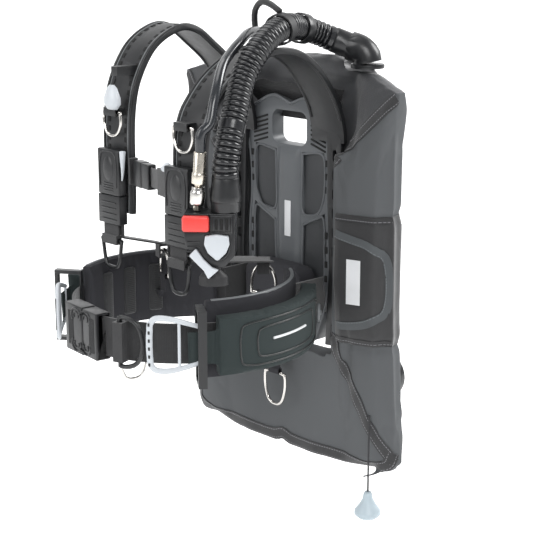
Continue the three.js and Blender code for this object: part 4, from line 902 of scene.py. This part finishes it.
spacer_mesh = woven("spacer_mesh", (0.0125, 0.013, 0.014), 0.8, pitch=0.0026, depth=0.0007, wrinkle=0.001)
pocket_coat = moulded("pocket_coating", (0.004, 0.0056, 0.0056), 0.32, grain=0.0009, relief=0.3, mottle=0.12,
                      sheen=0.05)
for name, cap in (("hip_pad_left", 0.003), ("hip_pad_right", 0.003), ("lumbar_pad", 0.006)):
    pad = skin_of(name, f"{name}_cushion", inset=0.002, voxel=0.0028, even=3)
    fill(pad, 3.0, cap)
    subdivided(pad)
    finished(pad, spacer_mesh, "vest", name)
for side_name, sign in (("left", 1), ("right", -1)):
    body = f"weight_pocket_{side_name}"
    pocket = skin_of(body, f"weight_pouch_{side_name}", inset=0.0026, voxel=0.0026, even=5)
    pocket.data.transform(Matrix.Translation((0, 0, WAIST.z)) @ Matrix.Diagonal((1, 1, POCKET_SHARE, 1))
                          @ Matrix.Translation((0, 0, -WAIST.z)))
    fill(pocket, 3.0, 0.0016)
    subdivided(pocket)
    finished(pocket, pocket_coat, body, body)
    shell = surface_of(pocket)
    beads = []
    for inset_low, inset_high, start, end in ((-0.027, 0.027, 72, 127), (-0.019, 0.019, 80, 120)):
        corners = [(start, inset_low * 0.5), (start + 1.5, inset_low * 0.9), (start + 6, inset_low),
                   (end - 6, inset_low), (end - 1.5, inset_low * 0.9), (end, inset_low * 0.5),
                   (end, inset_high * 0.5), (end - 1.5, inset_high * 0.9), (end - 6, inset_high),
                   (start + 6, inset_high), (start + 1.5, inset_high * 0.9), (start, inset_high * 0.5),
                   (start, inset_low * 0.5)]
        outline = through([(sign * angle, up * 1000, 0) for angle, up in corners], 1.2)
        bead_line = [on_waist(shell, angle, up / 1000, 0.0002) for angle, up, _ in outline]
        beads.append(tube("bead", bead_line, 0.0012, sides=3))
    badge_line = [on_waist(shell, sign * (88 + i * 1.0), 0.002, 0.0004) for i in range(24)]
    pocket_beads = join_all(f"pocket_piping_{side_name}", beads, pocket_coat)
    pocket_bar = tube(f"pocket_badge_bar_{side_name}", badge_line, 0.0016, sides=4)
    pocket_bar.data.materials.append(print_white)
    for piece in (pocket_beads, pocket_bar):
        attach(piece, body)
    bow_line = [round_waist(sign * angle, HANDLE_REACH, up / 1000) for angle, up, _ in bow]
    parts = [tube("bow", bow_line, 0.0042, sides=6, swell=bow_swell)]
    for angle, low, high, thick in ((46.5, -0.0255, 0.0335, 0.0019), (55.6, -0.0175, 0.0255, 0.0024)):
        bar = [round_waist(sign * angle, HANDLE_REACH, low + (high - low) * i / 8) for i in range(9)]
        parts.append(tube("bar", bar, thick, sides=5))
    handle = join_all(f"pocket_grip_{side_name}", parts)
    for vertex in handle.data.vertices:
        out = Vector((vertex.co.x, vertex.co.y - WAIST.y, 0))
        vertex.co += out.normalized() * (out.length - HANDLE_REACH) * -0.25
    handle.data.materials.append(light_grey)
    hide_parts(f"pocket_handle_{side_name}")
    if sign > 0:
        marks = [slab("mark", (0.0026, 0.0012, 0.0042), round_waist(33.95, 0.1676, -0.021 + i * 0.01),
                      turn=(0, 0, math.radians(34)), edge=0.0005) for i in range(6)]
    else:
        marks = [slab("mark", (0.0044, 0.0014, 0.042), round_waist(-33.95, 0.1676, 0.004),
                      turn=(0, 0, math.radians(-34)), edge=0.0006)]
    handle_marks = join_all(f"grip_marks_{side_name}", marks, smooth_black)
    for piece in (handle, handle_marks):
        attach(piece, body)
    ribs = []
    for angle in (76, 94, 112):
        ribs.append(slab("rib", (0.019, 0.009, 0.066), round_waist(sign * angle, 0.1285, 0.002),
                         turn=(0, 0, math.radians(sign * angle)), edge=0.0042, segments=4))
    pad_ribs = join_all(f"hip_pad_ribs_{side_name}", ribs)
    finished(pad_ribs, spacer_mesh, "vest")
    edging_line = [round_waist(sign * (62 + i * 2), 0.139, 0.0505) for i in range(43)]
    edging = tube(f"hip_pad_edging_{side_name}", edging_line, 0.0024, sides=4)
    finished(edging, reflective, "vest")
    hub = on_waist(shell, sign * 134, 0, 0.0026)
    knob_turn = math.radians(sign * 134)
    wheel = [slab("spoke", (0.019, 0.003, 0.0028), hub, turn=(0, i * math.pi / 3, 0)) for i in range(3)]
    rim_line = [Vector((0.0098 * math.cos(i * math.pi / 12), 0, 0.0098 * math.sin(i * math.pi / 12)))
                for i in range(25)]
    for spoke in wheel:
        spoke.data.transform(Matrix.Translation(hub) @ Matrix.Rotation(knob_turn, 4, "Z")
                             @ Matrix.Translation(-hub))
    spin = Matrix.Rotation(knob_turn, 3, "Z")
    wheel.append(tube("rim", [hub + spin @ spot for spot in rim_line], 0.0026, sides=4))
    wheel.append(tube("pin", [hub + spin @ Vector((0, -0.004 + 0.0015 * i, 0)) for i in range(8)], 0.0032))
    knob = join_all(f"pocket_knob_{side_name}", wheel)
    finished(knob, reflective, body)
    black_part(f"pocket_frame_{side_name}", f"pocket_slide_{side_name}", edge=0,
            flat=0.1)
for name, angles, swing in (("waist_buckle_socket", (-18.5, -11.5), 1),
                            ("waist_buckle_clip", (3.5, -3.5), -1)):
    buckle = black_part(name, f"{name}_moulding", edge=0.002, segments=4)
    shell = surface_of(buckle)
    curls = []
    for centre, sign in ((0.0185, 1), (-0.0185, -1)):
        for size, radius in ((1.0, 0.0014), (0.5, 0.0011)):
            curl = [on_waist(shell, angles[1] - swing * 4.2 * size * math.cos(turn),
                             centre + sign * 0.0095 * size * math.sin(turn), 0.0002, 0.158)
                    for turn in [math.radians(-40 + i * 13) for i in range(20)]]
            curls.append(tube("curl", curl, radius, sides=3))
    for i in range(5):
        angle = angles[0] + swing * 0.9 * i
        rib = [on_waist(shell, angle, -0.022 + 0.0055 * k, 0.0001, 0.158) for k in range(9)]
        curls.append(tube("rib", rib, 0.0008, sides=3))
    relief = join_all(f"{name}_relief", curls)
    finished(relief, smooth_black, "waist_buckle_clip" if "clip" in name else "vest")

# Short webbing tab sewn to the wing's outer edge.
tab_spot = surface_of(wing).ray_cast(Vector((0.42, 0.27, -0.012)), Vector((-1, -1, 0)).normalized())[0]
wing_tab = slab("wing_tab", (0.01, 0.014, 0.034), tab_spot, turn=(0, 0, math.radians(45)), edge=0.0012,
                material=flat_webbing)
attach(wing_tab, "vest")

# ----------------------------------------------------------------------------------------------------
# Power inflator: a black two-part body with a coral red inflate button, a light shield-shaped dump
# button, a light hose clip and an oval rubber mouthpiece.
red_plastic = moulded("coral_red_plastic", (0.66, 0.05, 0.042), 0.3, grain=0.0016, relief=0.08, mottle=0.04)
black_part("inflator_body", "inflator_case", edge=0.0022, segments=4)
rounded("inflate_button", "inflate_button_cap", red_plastic, "red_plastic", edge=0.0034, segments=5)
rounded("dump_button", "dump_button_cap", light_grey, "light_plastic", edge=0.002, segments=4, flat=1)
# The sunk slits are near-black slabs on the case: painted shade in place of cut slits.
raised, sunk = [], []
for i in range(4):
    raised.append(slab("rib", (0.0028, 0.0022, 0.0165), (0.0052 + i * 0.0062, -0.0172, 0.0195), edge=0.0007))
    if i < 3:
        sunk.append(slab("slit", (0.0026, 0.0012, 0.0125), (0.0083 + i * 0.0062, -0.0169, 0.0195),
                         edge=0.0003))
for z in (0.0095, 0.0295):
    raised.append(slab("bar", (0.0262, 0.0026, 0.0024), (0.0145, -0.0172, z), edge=0.0008))
raised.append(slab("bar", (0.0024, 0.0026, 0.0212), (0.0265, -0.0172, 0.0195), edge=0.0008))
for i in range(4):
    raised.append(slab("rib", (0.0155, 0.002, 0.0018), (-0.019, -0.0171, -0.002 - i * 0.0055), edge=0.0006))
raised.append(tube("ring", [Vector((0.009 + 0.0148 * math.sin(t), -0.0168, -0.0065 + 0.0168 * math.cos(t)))
                            for t in [i * math.pi / 24 for i in range(49)]], 0.0013, sides=3))
case_relief = join_all("inflator_case_relief", raised, smooth_black)
case_slits = join_all("inflator_case_slits", sunk, slot_painted_shade)
for piece in (case_relief, case_slits):
    piece.data.transform(Matrix.Translation(INFLATOR_AT) @ INFLATOR_TURN.to_4x4())
    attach(piece, "vest")
rounded("hose_clip", "hose_clip_hook", light_grey, "light_plastic", edge=0.0016, segments=3, flat=1)
rounded("mouthpiece", "mouthpiece_rubber", grip_black, "rubber", edge=0.0012, flat=0.3, shade=60)

# ----------------------------------------------------------------------------------------------------
# Rear: a dump valve with a slotted cover low on the left lobe, and two tank bands, each drawn tight by a
# cam lever.
black_part("dump_valve_housing", "dump_valve_cover", edge=0.0008, flat=0.5,
        shade=45)
rounded("dump_valve_poppet", "dump_valve_disc", knob_plastic, "knob_plastic", edge=0.0004, flat=0.5)
for level in ("upper", "lower"):
    black_part(f"cam_lever_{level}", f"cam_handle_{level}", edge=0.0016,
            segments=3, flat=1)
